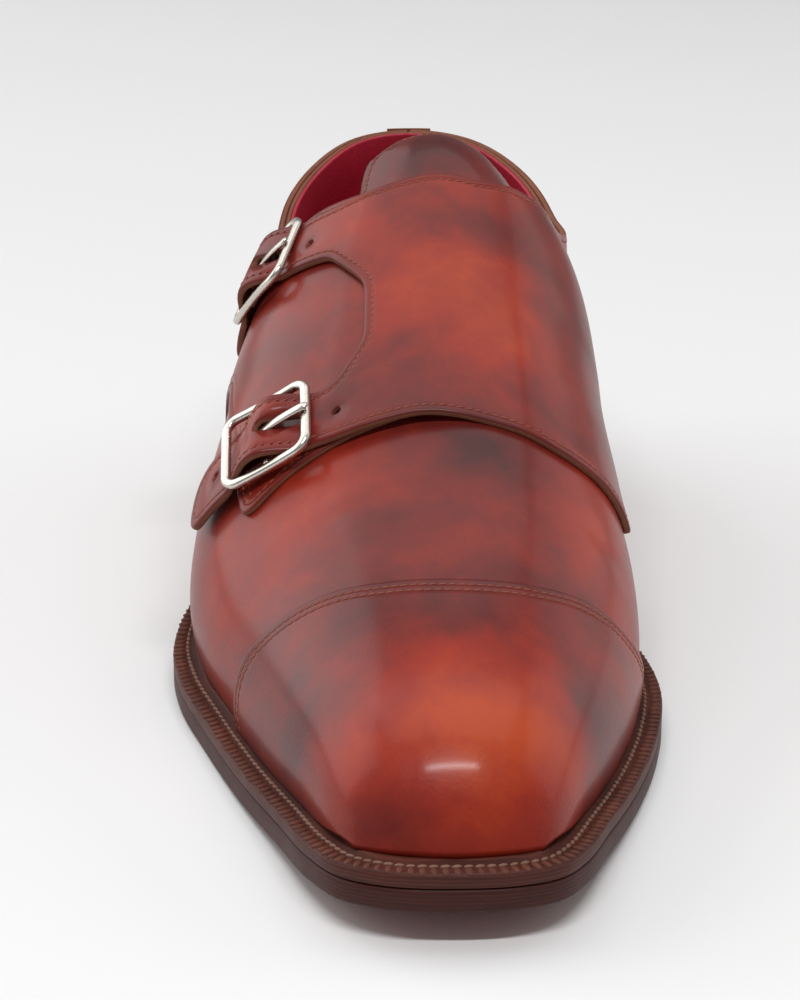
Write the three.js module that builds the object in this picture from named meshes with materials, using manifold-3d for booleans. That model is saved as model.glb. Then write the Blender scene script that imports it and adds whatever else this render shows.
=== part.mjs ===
// Double monk strap shoe for the right foot, in millimetres.
// +Z is up, the toe points along -Y, the buckled outer side lies on -X.
// Shoe lengths run forward from the back of the heel, girths run down from the ridge of the instep.
import * as THREE from 'three';
import Module from 'manifold-3d';

const wasm = await Module();
wasm.setup();

// ---- driving sizes ----
const LENGTH = 304;
const GAP = 0.3;
const LAYER_GAP = 0.4;
const SOLE_THICKNESS = 5;
const WELT_THICKNESS = 3;
const WELT_TOP = SOLE_THICKNESS + GAP + WELT_THICKNESS;
const FEATHER_RISE = WELT_TOP + GAP;
const UPPER_WALL = 2.2;
const INSOLE_THICKNESS = 4;
const HEEL_LENGTH = 72;
const TOP_PIECE_THICKNESS = 6;
const HEEL_TAPER = 1.4;
const BREAST_HOLLOW = 3;
const CAP_THICKNESS = 1.2;
const QUARTER_THICKNESS = 1.5;
const PANEL_THICKNESS = 1.7;
const TONGUE_THICKNESS = 1.6;
const TONGUE_DROP = 0.6;
const STRAP_HUMP = 4.5;
const HUMP_REACH = 12;
const STRAP_HALF_WIDTH = 8.5;
const BAR_RADIUS = 0.8;
const FRAME_REACH = 11.2;
const FRAME_HALF_WIDTH = 10.8;
const FRAME_CORNER = 3.4;
const FRAME_BAR_HALF = 1.15;
const PRONG_HALF_WIDTH = 1.2;
const PRONG_THICKNESS = 1.2;
const TAB_HALF_WIDTH = 6.5;
const TAB_THICKNESS = 1;

// ---- sole tables ----
// outline of the sole: length forward of the heel, half width on that side
const OUTLINE_MEDIAL = [
  [0, 0], [4.4, 16.5], [16.5, 28.6], [33, 32.6], [60, 31.5], [90, 27.5], [115, 27], [140, 32],
  [165, 42], [188, 49], [208, 50.5], [230, 47], [254, 40], [276, 31.8], [291, 26], [299, 20.5],
  [303, 12]];
const OUTLINE_LATERAL = [
  [0, 0], [4.4, 16.5], [16.5, 28.8], [33, 33.2], [60, 34], [90, 34.5], [112, 38], [135, 46.5],
  [158, 56], [178, 59.5], [198, 57.3], [222, 50], [246, 42], [268, 34], [286, 27.8], [297, 21.5],
  [302.5, 12]];
// height of the underside of the sole: length, height
const SOLE_PROFILE = [
  [-10, 26], [0, 26], [35, 25.4], [70, 24], [90, 20.5], [110, 14.8], [130, 9], [150, 4.3],
  [168, 1.2], [182, 0], [218, 0], [240, 0.5], [260, 1.9], [280, 4.2], [304, 7.6], [320, 10]];
// welt left bare outside the upper: fraction of the half outline, width
const WELT_MARGIN = [
  [0, 2], [0.2, 1.6], [0.33, 1], [0.45, 2.2], [0.55, 5], [0.65, 6.2], [0.9, 6.8], [1, 7.2]];

// ---- upper tables ----
// one row a section, heel to toe: where it leaves the feather line, its top point, half the
// opening there, how far it swells on each side, how high it stands, shoulder and fall at the top
const SECTION_COLUMNS = [
  'arc', 'topLength', 'topHeight', 'topX', 'opening', 'swellLateral', 'swellMedial', 'stand',
  'shoulder', 'fall'];
const SECTIONS = [
  [0, 10, 105, 0, 0, 6, 6, 34, 0, 36],
  [15, 13, 105, 0, 13.5, 6, 6, 34, 0, 36],
  [31, 25, 106, 1, 25, 5, 6, 34, 0, 36],
  [50, 44, 108, 1, 32, 5, 7, 34, 0, 36],
  [72, 66, 111, 1, 34, 8, 10, 34, 0, 34],
  [94, 86, 115, 4, 31, 14, 20, 38, 0.2, 24],
  [114, 101, 117, 9, 0, 20, 30, 46, 0.5, 8],
  [130, 115, 108, 13, 0, 23, 36, 50, 0.66, 4],
  [147, 130, 98, 13, 0, 20, 35, 48, 0.68, 3],
  [166, 148, 87, 12, 0, 14, 28, 41, 0.66, 2],
  [186, 168, 76, 10, 0, 10, 19, 33, 0.64, 2],
  [207, 190, 65, 8, 0, 7, 12, 26, 0.62, 2],
  [228, 212, 55, 5, 0, 4, 5, 20, 0.6, 1],
  [248, 233, 48, 4, 0, 3, 3, 19, 0.6, 1],
  [266, 251, 43, 3, 0, 3, 3, 18, 0.62, 0],
  [282, 267, 40, 2, 0, 3, 3, 17, 0.66, 0],
  [295, 280, 36.5, 1, 0, 2.5, 2.5, 14, 0.68, 0],
  [304, 290, 29.5, 0.5, 0, 2, 2, 9, 0.66, 0],
  [309.5, 294.5, 21.5, 0.5, 0, 1, 1, 4, 0.62, 0],
  [313, 296.8, 15.2, 0.5, 0, 0.5, 0.5, 0, 0.6, 0]];
const MIRRORED_AT_HEEL = ['arc', 'opening'];
const LAST_SECTION = SECTIONS.length - 1;
// height of the collar edge in the side view: length, height
const COLLAR_LINE = [
  [-10, 95], [4, 94], [14, 91.5], [30, 86], [50, 81.5], [66, 79.5], [80, 80], [90, 83],
  [100, 88], [108, 93.5], [114, 98.5], [119, 104], [126, 111]];

// ---- pattern tables: station along the shoe, girth from the ridge (inner side positive) ----
// line of the toe cap: girth, section
const CAP_LINE = [
  [-80, 12.9], [-66, 12.84], [-55, 12.76], [-43, 12.84], [-29, 12.94], [-13, 13.12], [0, 13.19],
  [14, 13.1], [29, 12.84], [44, 12.56], [60, 12.18], [75, 11.9]];
// outlines: station, girth, corner radius
const QUARTER_FRONT = [
  [136, -14, 3], [210, -14, 3], [211.5, -27, 12], [214, -42, 10], [217.5, -55, 5], [190, -62, 40],
  [158, -72, 12], [148, -82, 14], [145, -108, 10]];
const PANEL_FRONT = [
  [146, 102, 8], [150, 82, 12], [160, 72, 10], [185, 61, 40], [206, 53, 4], [214, 23, 40],
  [212, -12, 60], [212.6, -30, 30], [207.8, -58, 30], [204.4, -75, 7.5], [190, -73, 7],
  [191.2, -57, 30], [196.8, -32, 7], [184, -25, 12], [164, -26, 14], [150, -36, 8],
  [135.4, -69.8, 30], [129.4, -84, 7], [115.4, -78, 7], [120, -65.4, 30], [133, -34, 20]];
const TONGUE_OUTLINE = [
  [121, -20, 14], [117, 24, 12], [150, 34, 12], [186, 27, 12], [186, -30, 12], [140, -36, 14]];
// places of the two buckles: station and girth of the centre bar, then the way the strap runs
const BUCKLE_UPPER = { at: [132.6, -57.2], run: [-0.45, -0.89] };
const BUCKLE_LOWER = { at: [201.3, -47], run: [-0.19, -0.98] };
const BUCKLES = [BUCKLE_UPPER, BUCKLE_LOWER];
const SEAT = 0.2;
const PRONG_SLOT = { from: -8.8, to: 0.8, half: 1.8 };

// ---- small helpers ----
const clamp = (value, low, high) => Math.min(high, Math.max(low, value));
const mix = (a, b, t) => a + (b - a) * t;
const smooth = (t) => t * t * (3 - 2 * t);

/** Smooth curve through table rows [x, y] that never overshoots them. */
function throughTable(rows, x) {
  const last = rows.length - 1;
  const at = clamp(x, rows[0][0], rows[last][0]);
  let i = 0;
  while (i < last - 1 && at > rows[i + 1][0]) i += 1;
  const slope = (k) => (rows[k + 1][1] - rows[k][1]) / (rows[k + 1][0] - rows[k][0]);
  const tangent = (k) => {
    if (k === 0) return slope(0);
    if (k === last) return slope(last - 1);
    const a = slope(k - 1);
    const b = slope(k);
    return a * b <= 0 ? 0 : 2 * a * b / (a + b);
  };
  const width = rows[i + 1][0] - rows[i][0];
  const t = (at - rows[i][0]) / width;
  return rows[i][1] * (1 + 2 * t) * (1 - t) ** 2 + tangent(i) * width * t * (1 - t) ** 2
    + rows[i + 1][1] * t * t * (3 - 2 * t) + tangent(i + 1) * width * t * t * (t - 1);
}

/** Value of an increasing list's inverse by straight lines between its entries. */
function inverse(list, value) {
  let low = 0;
  let high = list.length - 1;
  if (value <= list[0]) return 0;
  if (value >= list[high]) return high;
  while (high - low > 1) {
    const middle = (low + high) >> 1;
    if (list[middle] > value) high = middle;
    else low = middle;
  }
  return low + (value - list[low]) / (list[high] - list[low]);
}

const soleUnder = (length) => throughTable(SOLE_PROFILE, length);
const place = (x, length, z) => new THREE.Vector3(x, LENGTH / 2 - length, z);

// ---- outline and feather line ----
const OUTLINE_STEPS = 24;
const toeCentre = new THREE.Vector3(0.5, LENGTH, 0);
const outlinePoints = [
  ...OUTLINE_MEDIAL.map(([length, x]) => new THREE.Vector3(x, length, 0)),
  toeCentre,
  ...OUTLINE_LATERAL.slice(1).reverse().map(([length, x]) => new THREE.Vector3(-x, length, 0))];
const outlineCurve = new THREE.CatmullRomCurve3(outlinePoints, true, 'centripetal');

/** Half outline from heel to toe on one side (+1 inner, -1 outer) with its outward normals. */
function halfOutline(side) {
  const total = outlinePoints.length * OUTLINE_STEPS;
  const toe = OUTLINE_MEDIAL.length * OUTLINE_STEPS;
  const points = [];
  if (side > 0) for (let i = 0; i <= toe; i += 1) points.push(outlineCurve.getPoint(i / total));
  else for (let i = total; i >= toe; i -= 1) points.push(outlineCurve.getPoint((i % total) / total));
  const last = points.length - 1;
  const normals = points.map((p, i) => {
    if (i === 0) return new THREE.Vector3(0, -1, 0);
    if (i === last) return new THREE.Vector3(0, 1, 0);
    const along = points[i + 1].clone().sub(points[i - 1]).normalize();
    return new THREE.Vector3(along.y, -along.x, 0).multiplyScalar(side);
  });
  return withArcs(points, normals);
}

function withArcs(points, normals) {
  const arcs = [0];
  for (let i = 1; i < points.length; i += 1) arcs.push(arcs[i - 1] + points[i].distanceTo(points[i - 1]));
  return { points, normals, arcs, total: arcs[arcs.length - 1] };
}

/** Point and normal of a line at an arc length. */
function alongLine(line, arc) {
  const at = inverse(line.arcs, arc);
  const i = Math.min(Math.floor(at), line.points.length - 2);
  return {
    point: line.points[i].clone().lerp(line.points[i + 1], at - i),
    normal: line.normals[i].clone().lerp(line.normals[i + 1], at - i).normalize() };
}

/** The line moved inward by a width that may change along it. */
function inset(line, widthAt) {
  const points = line.points.map((p, i) => (
    p.clone().addScaledVector(line.normals[i], -widthAt(line.arcs[i] / line.total))));
  return withArcs(points, line.normals);
}

const OUTLINE = { 1: halfOutline(1), [-1]: halfOutline(-1) };
const weltMargin = (fraction) => throughTable(WELT_MARGIN, fraction);
const FEATHER = { 1: inset(OUTLINE[1], weltMargin), [-1]: inset(OUTLINE[-1], weltMargin) };

// ---- surface of the upper ----
/** Section columns at a place between rows, as a smooth uniform B-spline. */
function sectionAt(section, closed) {
  const row = clamp(Math.floor(section), 0, LAST_SECTION - 1);
  const t = section - row;
  const weights = [(1 - t) ** 3, 3 * t ** 3 - 6 * t * t + 4, -3 * t ** 3 + 3 * t * t + 3 * t + 1, t ** 3];
  const values = {};
  SECTION_COLUMNS.forEach((name, column) => {
    const sign = MIRRORED_AT_HEEL.includes(name) ? -1 : 1;
    const read = (i) => {
      if (i < 0) return sign * SECTIONS[1][column];
      if (i > LAST_SECTION) return 2 * SECTIONS[LAST_SECTION][column] - SECTIONS[LAST_SECTION - 1][column];
      return SECTIONS[i][column];
    };
    values[name] = weights.reduce((sum, weight, k) => sum + weight * read(row - 1 + k), 0) / 6;
  });
  if (closed) values.opening = 0;
  return values;
}

/** The four control points of a half section on one side. */
function controls(section, side, closed) {
  const v = sectionAt(section, closed);
  const { point, normal } = alongLine(FEATHER[side], v.arc);
  const swell = side > 0 ? v.swellMedial : v.swellLateral;
  const base = new THREE.Vector3(point.x, point.y, soleUnder(point.y) + FEATHER_RISE);
  const top = new THREE.Vector3(v.topX + side * v.opening, v.topLength, v.topHeight);
  const low = base.clone().addScaledVector(normal, swell);
  low.z += v.stand;
  const reach = Math.abs(top.x - base.x);
  const high = new THREE.Vector3(top.x + side * v.shoulder * reach, top.y, top.z - v.fall);
  return [base, low, high, top];
}

/** Point at t (0 feather line, 1 ridge) of a half section, as (x, length, z). */
function onSection(points, t) {
  const s = 1 - t;
  return new THREE.Vector3()
    .addScaledVector(points[0], s * s * s)
    .addScaledVector(points[1], 3 * s * s * t)
    .addScaledVector(points[2], 3 * s * t * t)
    .addScaledVector(points[3], t * t * t);
}

const GIRTH_STEPS = 48;
const girthCache = new Map();
/** Girths measured down from the ridge at even steps of t, kept for reuse. */
function girthTable(section, side, closed) {
  const key = `${section.toFixed(9)} ${side} ${closed}`;
  if (!girthCache.has(key)) {
    const points = controls(section, side, closed);
    const down = [0];
    let before = points[3];
    for (let i = GIRTH_STEPS - 1; i >= 0; i -= 1) {
      const here = onSection(points, i / GIRTH_STEPS);
      down.push(down[down.length - 1] + here.distanceTo(before));
      before = here;
    }
    girthCache.set(key, { points, down, total: down[GIRTH_STEPS] });
  }
  return girthCache.get(key);
}

// stations: length walked along the middle of both walls, at even steps of the section number
const STATION_STEPS = 380;
const stations = [0];
for (let i = 1; i <= STATION_STEPS; i += 1) {
  const walk = [1, -1].map((side) => {
    const a = onSection(controls((i - 1) / STATION_STEPS * LAST_SECTION, side, false), 0.5);
    return a.distanceTo(onSection(controls(i / STATION_STEPS * LAST_SECTION, side, false), 0.5));
  });
  stations.push(stations[i - 1] + (walk[0] + walk[1]) / 2);
}
const sectionOf = (station) => inverse(stations, station) / STATION_STEPS * LAST_SECTION;
function stationOf(section) {
  const at = clamp(section / LAST_SECTION, 0, 1) * STATION_STEPS;
  const i = Math.min(Math.floor(at), STATION_STEPS - 1);
  return mix(stations[i], stations[i + 1], at - i);
}

const sideOf = (girth) => (girth >= 0 ? 1 : -1);

/** Point of the upper at a station and girth. */
function bodyPoint(station, girth, closed = false) {
  const table = girthTable(sectionOf(station), sideOf(girth), closed);
  const t = 1 - inverse(table.down, Math.abs(girth)) / GIRTH_STEPS;
  const p = onSection(table.points, t);
  return place(p.x, p.y, p.z);
}

const NORMAL_STEP = 0.8;
/** Outward direction of the upper at a station and girth. */
function bodyNormal(station, girth, closed = false) {
  const along = bodyPoint(station + NORMAL_STEP, girth, closed)
    .sub(bodyPoint(station - NORMAL_STEP, girth, closed));
  const edge = girthTable(sectionOf(station), sideOf(girth), closed).total;
  const high = clamp(girth + NORMAL_STEP, -edge, edge);
  const low = clamp(girth - NORMAL_STEP, -edge, edge);
  const around = bodyPoint(station, high, closed).sub(bodyPoint(station, low, closed));
  return along.cross(around).normalize();
}

/** How far up a half section the collar line cuts it (1 when it does not). */
function collarCut(section, side) {
  const points = girthTable(section, side, false).points;
  const above = (t) => {
    const p = onSection(points, t);
    return p.z > throughTable(COLLAR_LINE, p.y);
  };
  if (!above(1)) return 1;
  let low = 0.3;
  let high = 1;
  for (let i = 0; i < 40; i += 1) {
    const middle = (low + high) / 2;
    if (above(middle)) high = middle;
    else low = middle;
  }
  return high > 0.998 ? 1 : high;
}

function girthAt(section, side, t) {
  const table = girthTable(section, side, false);
  const at = (1 - t) * GIRTH_STEPS;
  const i = Math.min(Math.floor(at), GIRTH_STEPS - 1);
  return side * mix(table.down[i], table.down[i + 1], at - i);
}

/** Section number where the collar line crosses the ridge. */
function collarFront() {
  let low = 6;
  let high = 9;
  for (let i = 0; i < 40; i += 1) {
    const middle = (low + high) / 2;
    if (collarCut(middle, 1) < 1) low = middle;
    else high = middle;
  }
  return high;
}
const COLLAR_FRONT = collarFront();

// ---- building closed solids ----
/** Closed solid between two matching skins over one set of triangles. */
function slab(outer, inner, triangles) {
  const names = new Map();
  const ids = outer.map((p, i) => {
    const key = [p.x, p.y, p.z].map((v) => Math.round(v * 500)).join(' ');
    if (!names.has(key)) names.set(key, i);
    return names.get(key);
  });
  const faces = triangles.map((face) => face.map((i) => ids[i]))
    .filter(([a, b, c]) => a !== b && b !== c && c !== a);
  const borders = new Map();
  for (const [a, b, c] of faces) {
    for (const [from, to] of [[a, b], [b, c], [c, a]]) {
      const back = `${to} ${from}`;
      if (borders.has(back)) borders.delete(back);
      else borders.set(`${from} ${to}`, [from, to]);
    }
  }
  const positions = [];
  const add = (p, q, r) => positions.push(p.x, p.y, p.z, q.x, q.y, q.z, r.x, r.y, r.z);
  for (const [a, b, c] of faces) {
    add(outer[a], outer[b], outer[c]);
    add(inner[a], inner[c], inner[b]);
  }
  for (const [from, to] of borders.values()) {
    add(outer[from], inner[from], inner[to]);
    add(outer[from], inner[to], outer[to]);
  }
  const geometry = new THREE.BufferGeometry();
  geometry.setAttribute('position', new THREE.Float32BufferAttribute(positions, 3));
  geometry.computeVertexNormals();
  return geometry;
}

/** Triangles of a grid with rows by columns vertices, wound for +rows x +columns. */
function gridFaces(rows, columns, start = 0, flipped = false) {
  const faces = [];
  for (let i = 0; i + 1 < rows; i += 1) {
    for (let j = 0; j + 1 < columns; j += 1) {
      const a = start + i * columns + j;
      const quad = [[a, a + columns, a + columns + 1], [a, a + columns + 1, a + 1]];
      for (const [p, q, r] of quad) faces.push(flipped ? [p, r, q] : [p, q, r]);
    }
  }
  return faces;
}

/** Plate between the outer and inner half lines; heights and widths may change downwards. */
function plate(lateral, medial, { from = 0, to = 1, steps, across, top, bottom, shrink = 0, hollow = 0 }) {
  const upper = [];
  const lower = [];
  for (let i = 0; i <= steps; i += 1) {
    const fraction = mix(from, to, i / steps);
    const left = alongLine(lateral, fraction * lateral.span);
    const right = alongLine(medial, fraction * medial.span);
    const leftLow = left.point.clone().addScaledVector(left.normal, -shrink);
    const rightLow = right.point.clone().addScaledVector(right.normal, -shrink);
    for (let j = 0; j <= across; j += 1) {
      const w = j / across;
      const pull = hollow * (1 - (2 * w - 1) ** 2) * (i / steps) ** 6;
      const p = left.point.clone().lerp(right.point, w);
      const q = leftLow.clone().lerp(rightLow, w);
      p.y -= pull;
      q.y -= pull;
      upper.push(place(p.x, p.y, top(p.y)));
      lower.push(place(q.x, q.y, bottom(q.y)));
    }
  }
  return slab(upper, lower, gridFaces(steps + 1, across + 1));
}

const spanned = (line, span) => ({ ...line, span });
/** Arc length at which a half line reaches a length forward of the heel. */
function arcAtLength(line, length) {
  let i = 0;
  while (line.points[i].y < length) i += 1;
  const t = (length - line.points[i - 1].y) / (line.points[i].y - line.points[i - 1].y);
  return mix(line.arcs[i - 1], line.arcs[i], t);
}

/** A point lifted, where it must be, to stand clear of the welt. */
function settled(p) {
  return p.setZ(Math.max(p.z, soleUnder(LENGTH / 2 - p.y) + FEATHER_RISE));
}

/** Skin of vertices given by station, girth and level above the upper, made into a slab. */
function sheet(vertices, triangles, over, under, closed = false) {
  const outer = [];
  const inner = [];
  for (const [station, girth] of vertices) {
    const p = bodyPoint(station, girth, closed);
    const n = bodyNormal(station, girth, closed);
    outer.push(settled(p.clone().addScaledVector(n, over(station, girth))));
    inner.push(settled(p.clone().addScaledVector(n, under(station, girth))));
  }
  return slab(outer, inner, triangles);
}

// ---- outlines in the pattern plane ----
const ARC_STEPS = 6;
/** Closed polygon from rows [station, girth, corner radius], its corners rounded. */
function roundedOutline(rows) {
  const points = [];
  rows.forEach(([x, y, radius], i) => {
    const here = new THREE.Vector2(x, y);
    const [ax, ay] = rows[(i + rows.length - 1) % rows.length];
    const [bx, by] = rows[(i + 1) % rows.length];
    const back = new THREE.Vector2(ax, ay).sub(here);
    const ahead = new THREE.Vector2(bx, by).sub(here);
    const half = Math.acos(clamp(back.dot(ahead) / back.length() / ahead.length(), -1, 1)) / 2;
    const wanted = radius / Math.tan(half);
    const cut = Math.min(wanted, back.length() * 0.46, ahead.length() * 0.46);
    if (!radius) {
      points.push(here);
      return;
    }
    const start = here.clone().addScaledVector(back.normalize(), cut);
    const end = here.clone().addScaledVector(ahead.normalize(), cut);
    for (let k = 0; k <= ARC_STEPS; k += 1) {
      const t = k / ARC_STEPS;
      points.push(new THREE.Vector2(
        mix(mix(start.x, here.x, t), mix(here.x, end.x, t), t),
        mix(mix(start.y, here.y, t), mix(here.y, end.y, t), t)));
    }
  });
  return points;
}

/** Signed distance to a closed polygon, positive inside, with the nearest point on it. */
function distanceInside(polygon, x, y) {
  let best = Infinity;
  let nearest = null;
  let inside = false;
  for (let i = 0, j = polygon.length - 1; i < polygon.length; j = i, i += 1) {
    const a = polygon[j];
    const b = polygon[i];
    const dx = b.x - a.x;
    const dy = b.y - a.y;
    const t = clamp(((x - a.x) * dx + (y - a.y) * dy) / (dx * dx + dy * dy || 1), 0, 1);
    const gap = Math.hypot(x - a.x - t * dx, y - a.y - t * dy);
    if (gap < best) {
      best = gap;
      nearest = [a.x + t * dx, a.y + t * dy];
    }
    if ((a.y > y) !== (b.y > y) && x < (b.x - a.x) * (y - a.y) / (b.y - a.y) + a.x) inside = !inside;
  }
  return { distance: inside ? best : -best, nearest };
}

const SNAP = 0.34;
/** Grid clipped to where the field is positive; vertices near its edge are moved onto it. */
function clippedGrid(columns, rows, field) {
  const vertices = [];
  const values = [];
  const at = (i, j) => i * rows.length + j;
  columns.forEach((x, i) => rows.forEach((y, j) => {
    const cell = Math.min(columns[Math.min(i + 1, columns.length - 1)] - columns[Math.max(i - 1, 0)],
      rows[Math.min(j + 1, rows.length - 1)] - rows[Math.max(j - 1, 0)]) / 2;
    const { distance, nearest } = field(x, y);
    if (Math.abs(distance) < SNAP * cell) {
      vertices.push(nearest);
      values.push(0);
    } else {
      vertices.push([x, y]);
      values.push(distance);
    }
  }));
  const crossings = new Map();
  const crossing = (a, b) => {
    const key = a < b ? `${a} ${b}` : `${b} ${a}`;
    if (!crossings.has(key)) {
      let low = 0;
      let high = 1;
      const point = (t) => [mix(vertices[a][0], vertices[b][0], t), mix(vertices[a][1], vertices[b][1], t)];
      for (let k = 0; k < 24; k += 1) {
        const middle = (low + high) / 2;
        const inside = field(...point(middle)).distance > 0;
        if (inside === values[a] > 0) low = middle;
        else high = middle;
      }
      vertices.push(point((low + high) / 2));
      values.push(0);
      crossings.set(key, vertices.length - 1);
    }
    return crossings.get(key);
  };
  const faces = [];
  const clip = (triangle) => {
    const kept = [];
    for (let k = 0; k < 3; k += 1) {
      const a = triangle[k];
      const b = triangle[(k + 1) % 3];
      if (values[a] >= 0) kept.push(a);
      if (values[a] * values[b] < 0) kept.push(crossing(a, b));
    }
    if (!kept.some((k) => values[k] > 0)) {
      const x = kept.reduce((sum, k) => sum + vertices[k][0], 0) / kept.length;
      const y = kept.reduce((sum, k) => sum + vertices[k][1], 0) / kept.length;
      if (kept.length < 3 || field(x, y).distance <= 0) return;
    }
    for (let k = 2; k < kept.length; k += 1) faces.push([kept[0], kept[k - 1], kept[k]]);
  };
  for (let i = 0; i + 1 < columns.length; i += 1) {
    for (let j = 0; j + 1 < rows.length; j += 1) {
      clip([at(i, j), at(i + 1, j), at(i + 1, j + 1)]);
      clip([at(i, j), at(i + 1, j + 1), at(i, j + 1)]);
    }
  }
  const used = [...new Set(faces.flat())];
  const renamed = new Map(used.map((k, i) => [k, i]));
  return { vertices: used.map((k) => vertices[k]), faces: faces.map((face) => face.map((k) => renamed.get(k))) };
}

/** Evenly spaced values from a to b with steps no longer than the wanted one. */
function spaced(a, b, wanted) {
  const count = Math.ceil(Math.abs((b - a) / wanted) - 1e-9);
  return Array.from({ length: count + 1 }, (_, i) => mix(a, b, i / count));
}

const BACK_SEAM = 0.45;
const BASE_CLEAR = 0.25;
/** Rear boundary of a quarter: base line back to the heel, back seam, then the collar line. */
function rearBoundary(side, lastSection, firstSection) {
  const rows = [];
  const start = sectionOf(BACK_SEAM);
  for (const section of spaced(start, lastSection, 0.45).reverse()) {
    rows.push([stationOf(section), side * (girthTable(section, side, false).total - BASE_CLEAR), 0]);
  }
  for (const section of spaced(start, firstSection, 0.3)) {
    rows.push([stationOf(section), girthAt(section, side, collarCut(section, side)), 0]);
  }
  return rows;
}

/** Coordinates of a pattern point along and across a buckle's strap. */
function strapPlace(buckle, station, girth) {
  const dx = station - buckle.at[0];
  const dy = girth - buckle.at[1];
  return {
    along: dx * buckle.run[0] + dy * buckle.run[1],
    across: dx * buckle.run[1] - dy * buckle.run[0] };
}

const OVER_QUARTER = LAYER_GAP + QUARTER_THICKNESS + GAP;
/** Level of the underside of the strap panel above the upper. */
function panelUnder(station, girth) {
  let level = mix(LAYER_GAP, OVER_QUARTER, smooth(clamp((6 - girth) / 17, 0, 1)));
  for (const buckle of BUCKLES) {
    const { along, across } = strapPlace(buckle, station, girth);
    if (Math.abs(along) < HUMP_REACH && Math.abs(across) < HUMP_REACH) {
      level += STRAP_HUMP * (1 + Math.cos(Math.PI * along / HUMP_REACH)) / 2;
    }
  }
  return level;
}

// ---- the pieces of the bottom ----
function makeOutsole() {
  return plate(spanned(OUTLINE[-1], OUTLINE[-1].total), spanned(OUTLINE[1], OUTLINE[1].total), {
    steps: 46, across: 1, top: (u) => soleUnder(u) + SOLE_THICKNESS, bottom: soleUnder });
}

function makeInsole() {
  const edge = (fraction) => UPPER_WALL + 1.1 + 0.6 * fraction;
  const [lateral, medial] = [-1, 1].map((side) => {
    const line = inset(FEATHER[side], edge);
    return spanned(line, line.total);
  });
  return plate(lateral, medial, {
    steps: 34, across: 1,
    top: (u) => soleUnder(u) + SOLE_THICKNESS + GAP + INSOLE_THICKNESS,
    bottom: (u) => soleUnder(u) + SOLE_THICKNESS + GAP });
}

function makeHeel(top, bottom, insetTop, insetBottom) {
  const [lateral, medial] = [-1, 1].map((side) => {
    const line = inset(OUTLINE[side], () => insetTop);
    return spanned(line, arcAtLength(line, HEEL_LENGTH));
  });
  return plate(lateral, medial, {
    steps: 18, across: 4, top, bottom, shrink: insetBottom - insetTop, hollow: BREAST_HOLLOW });
}

const WELT_STEPS = 46;
function makeWelt() {
  const loops = [[], []];
  const inner = (side) => inset(FEATHER[side], () => UPPER_WALL + 0.3);
  for (const side of [1, -1]) {
    const lines = [OUTLINE[side], inner(side)];
    for (let i = 0; i < WELT_STEPS; i += 1) {
      const fraction = side > 0 ? i / WELT_STEPS : 1 - i / WELT_STEPS;
      lines.forEach((line, k) => loops[k].push(alongLine(line, fraction * line.total).point));
    }
  }
  const count = loops[0].length;
  const high = [];
  const low = [];
  for (const loop of loops) {
    for (const p of loop) {
      high.push(place(p.x, p.y, soleUnder(p.y) + WELT_TOP));
      low.push(place(p.x, p.y, soleUnder(p.y) + SOLE_THICKNESS + GAP));
    }
  }
  const faces = [];
  for (let i = 0; i < count; i += 1) {
    const j = (i + 1) % count;
    faces.push([i, count + j, count + i], [i, j, count + j]);
  }
  return slab(high, low, faces.map(([a, b, c]) => [a, c, b]));
}

// ---- the upper and what lies on it ----
const HALF_COLUMNS = 8;
function makeUpper() {
  const collarSections = spaced(1, 0, 1 / 8).map((k) => COLLAR_FRONT - (COLLAR_FRONT - 6) * k * k);
  const sections = [
    ...spaced(0, 2, 0.25), ...spaced(2, 6, 0.4).slice(1), ...collarSections.slice(1),
    ...spaced(COLLAR_FRONT, 13, 0.5).slice(1), ...spaced(13, 16, 0.5).slice(1),
    ...spaced(16, LAST_SECTION, 0.3).slice(1)];
  const outer = [];
  const inner = [];
  const faces = [];
  for (const side of [1, -1]) {
    const start = outer.length;
    sections.forEach((section, i) => {
      const cut = collarCut(section, side);
      for (let j = 0; j <= HALF_COLUMNS; j += 1) {
        const station = stationOf(section);
        const girth = girthAt(section, side, cut * j / HALF_COLUMNS);
        const p = bodyPoint(station, girth);
        const n = bodyNormal(station, girth);
        if (j === 0 || i === sections.length - 1) n.setZ(0).normalize();
        if (i === 0) n.setX(0).normalize();
        outer.push(p);
        inner.push(p.clone().addScaledVector(n, -UPPER_WALL));
      }
    });
    faces.push(...gridFaces(sections.length, HALF_COLUMNS + 1, start, side > 0));
  }
  return slab(outer, inner, faces);
}

function makeToeCap() {
  const columns = HALF_COLUMNS;
  const lines = 12;
  const vertices = [];
  const faces = [];
  for (const side of [1, -1]) {
    const start = vertices.length;
    for (let i = 0; i <= lines; i += 1) {
      for (let j = 0; j <= columns; j += 1) {
        const t = j / columns;
        let edge = 13;
        for (let k = 0; k < 8; k += 1) edge = throughTable(CAP_LINE, girthAt(edge, side, t));
        const section = mix(edge, LAST_SECTION, i / lines);
        vertices.push([stationOf(section), girthAt(section, side, t), i === lines || j === 0]);
      }
    }
    faces.push(...gridFaces(lines + 1, columns + 1, start, side > 0));
  }
  const outer = [];
  const inner = [];
  for (const [station, girth, low] of vertices) {
    const p = bodyPoint(station, girth);
    const n = bodyNormal(station, girth);
    if (low) n.setZ(0).normalize();
    outer.push(p.clone().addScaledVector(n, GAP + CAP_THICKNESS));
    inner.push(p.clone().addScaledVector(n, GAP));
  }
  return slab(outer, inner, faces);
}

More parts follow.
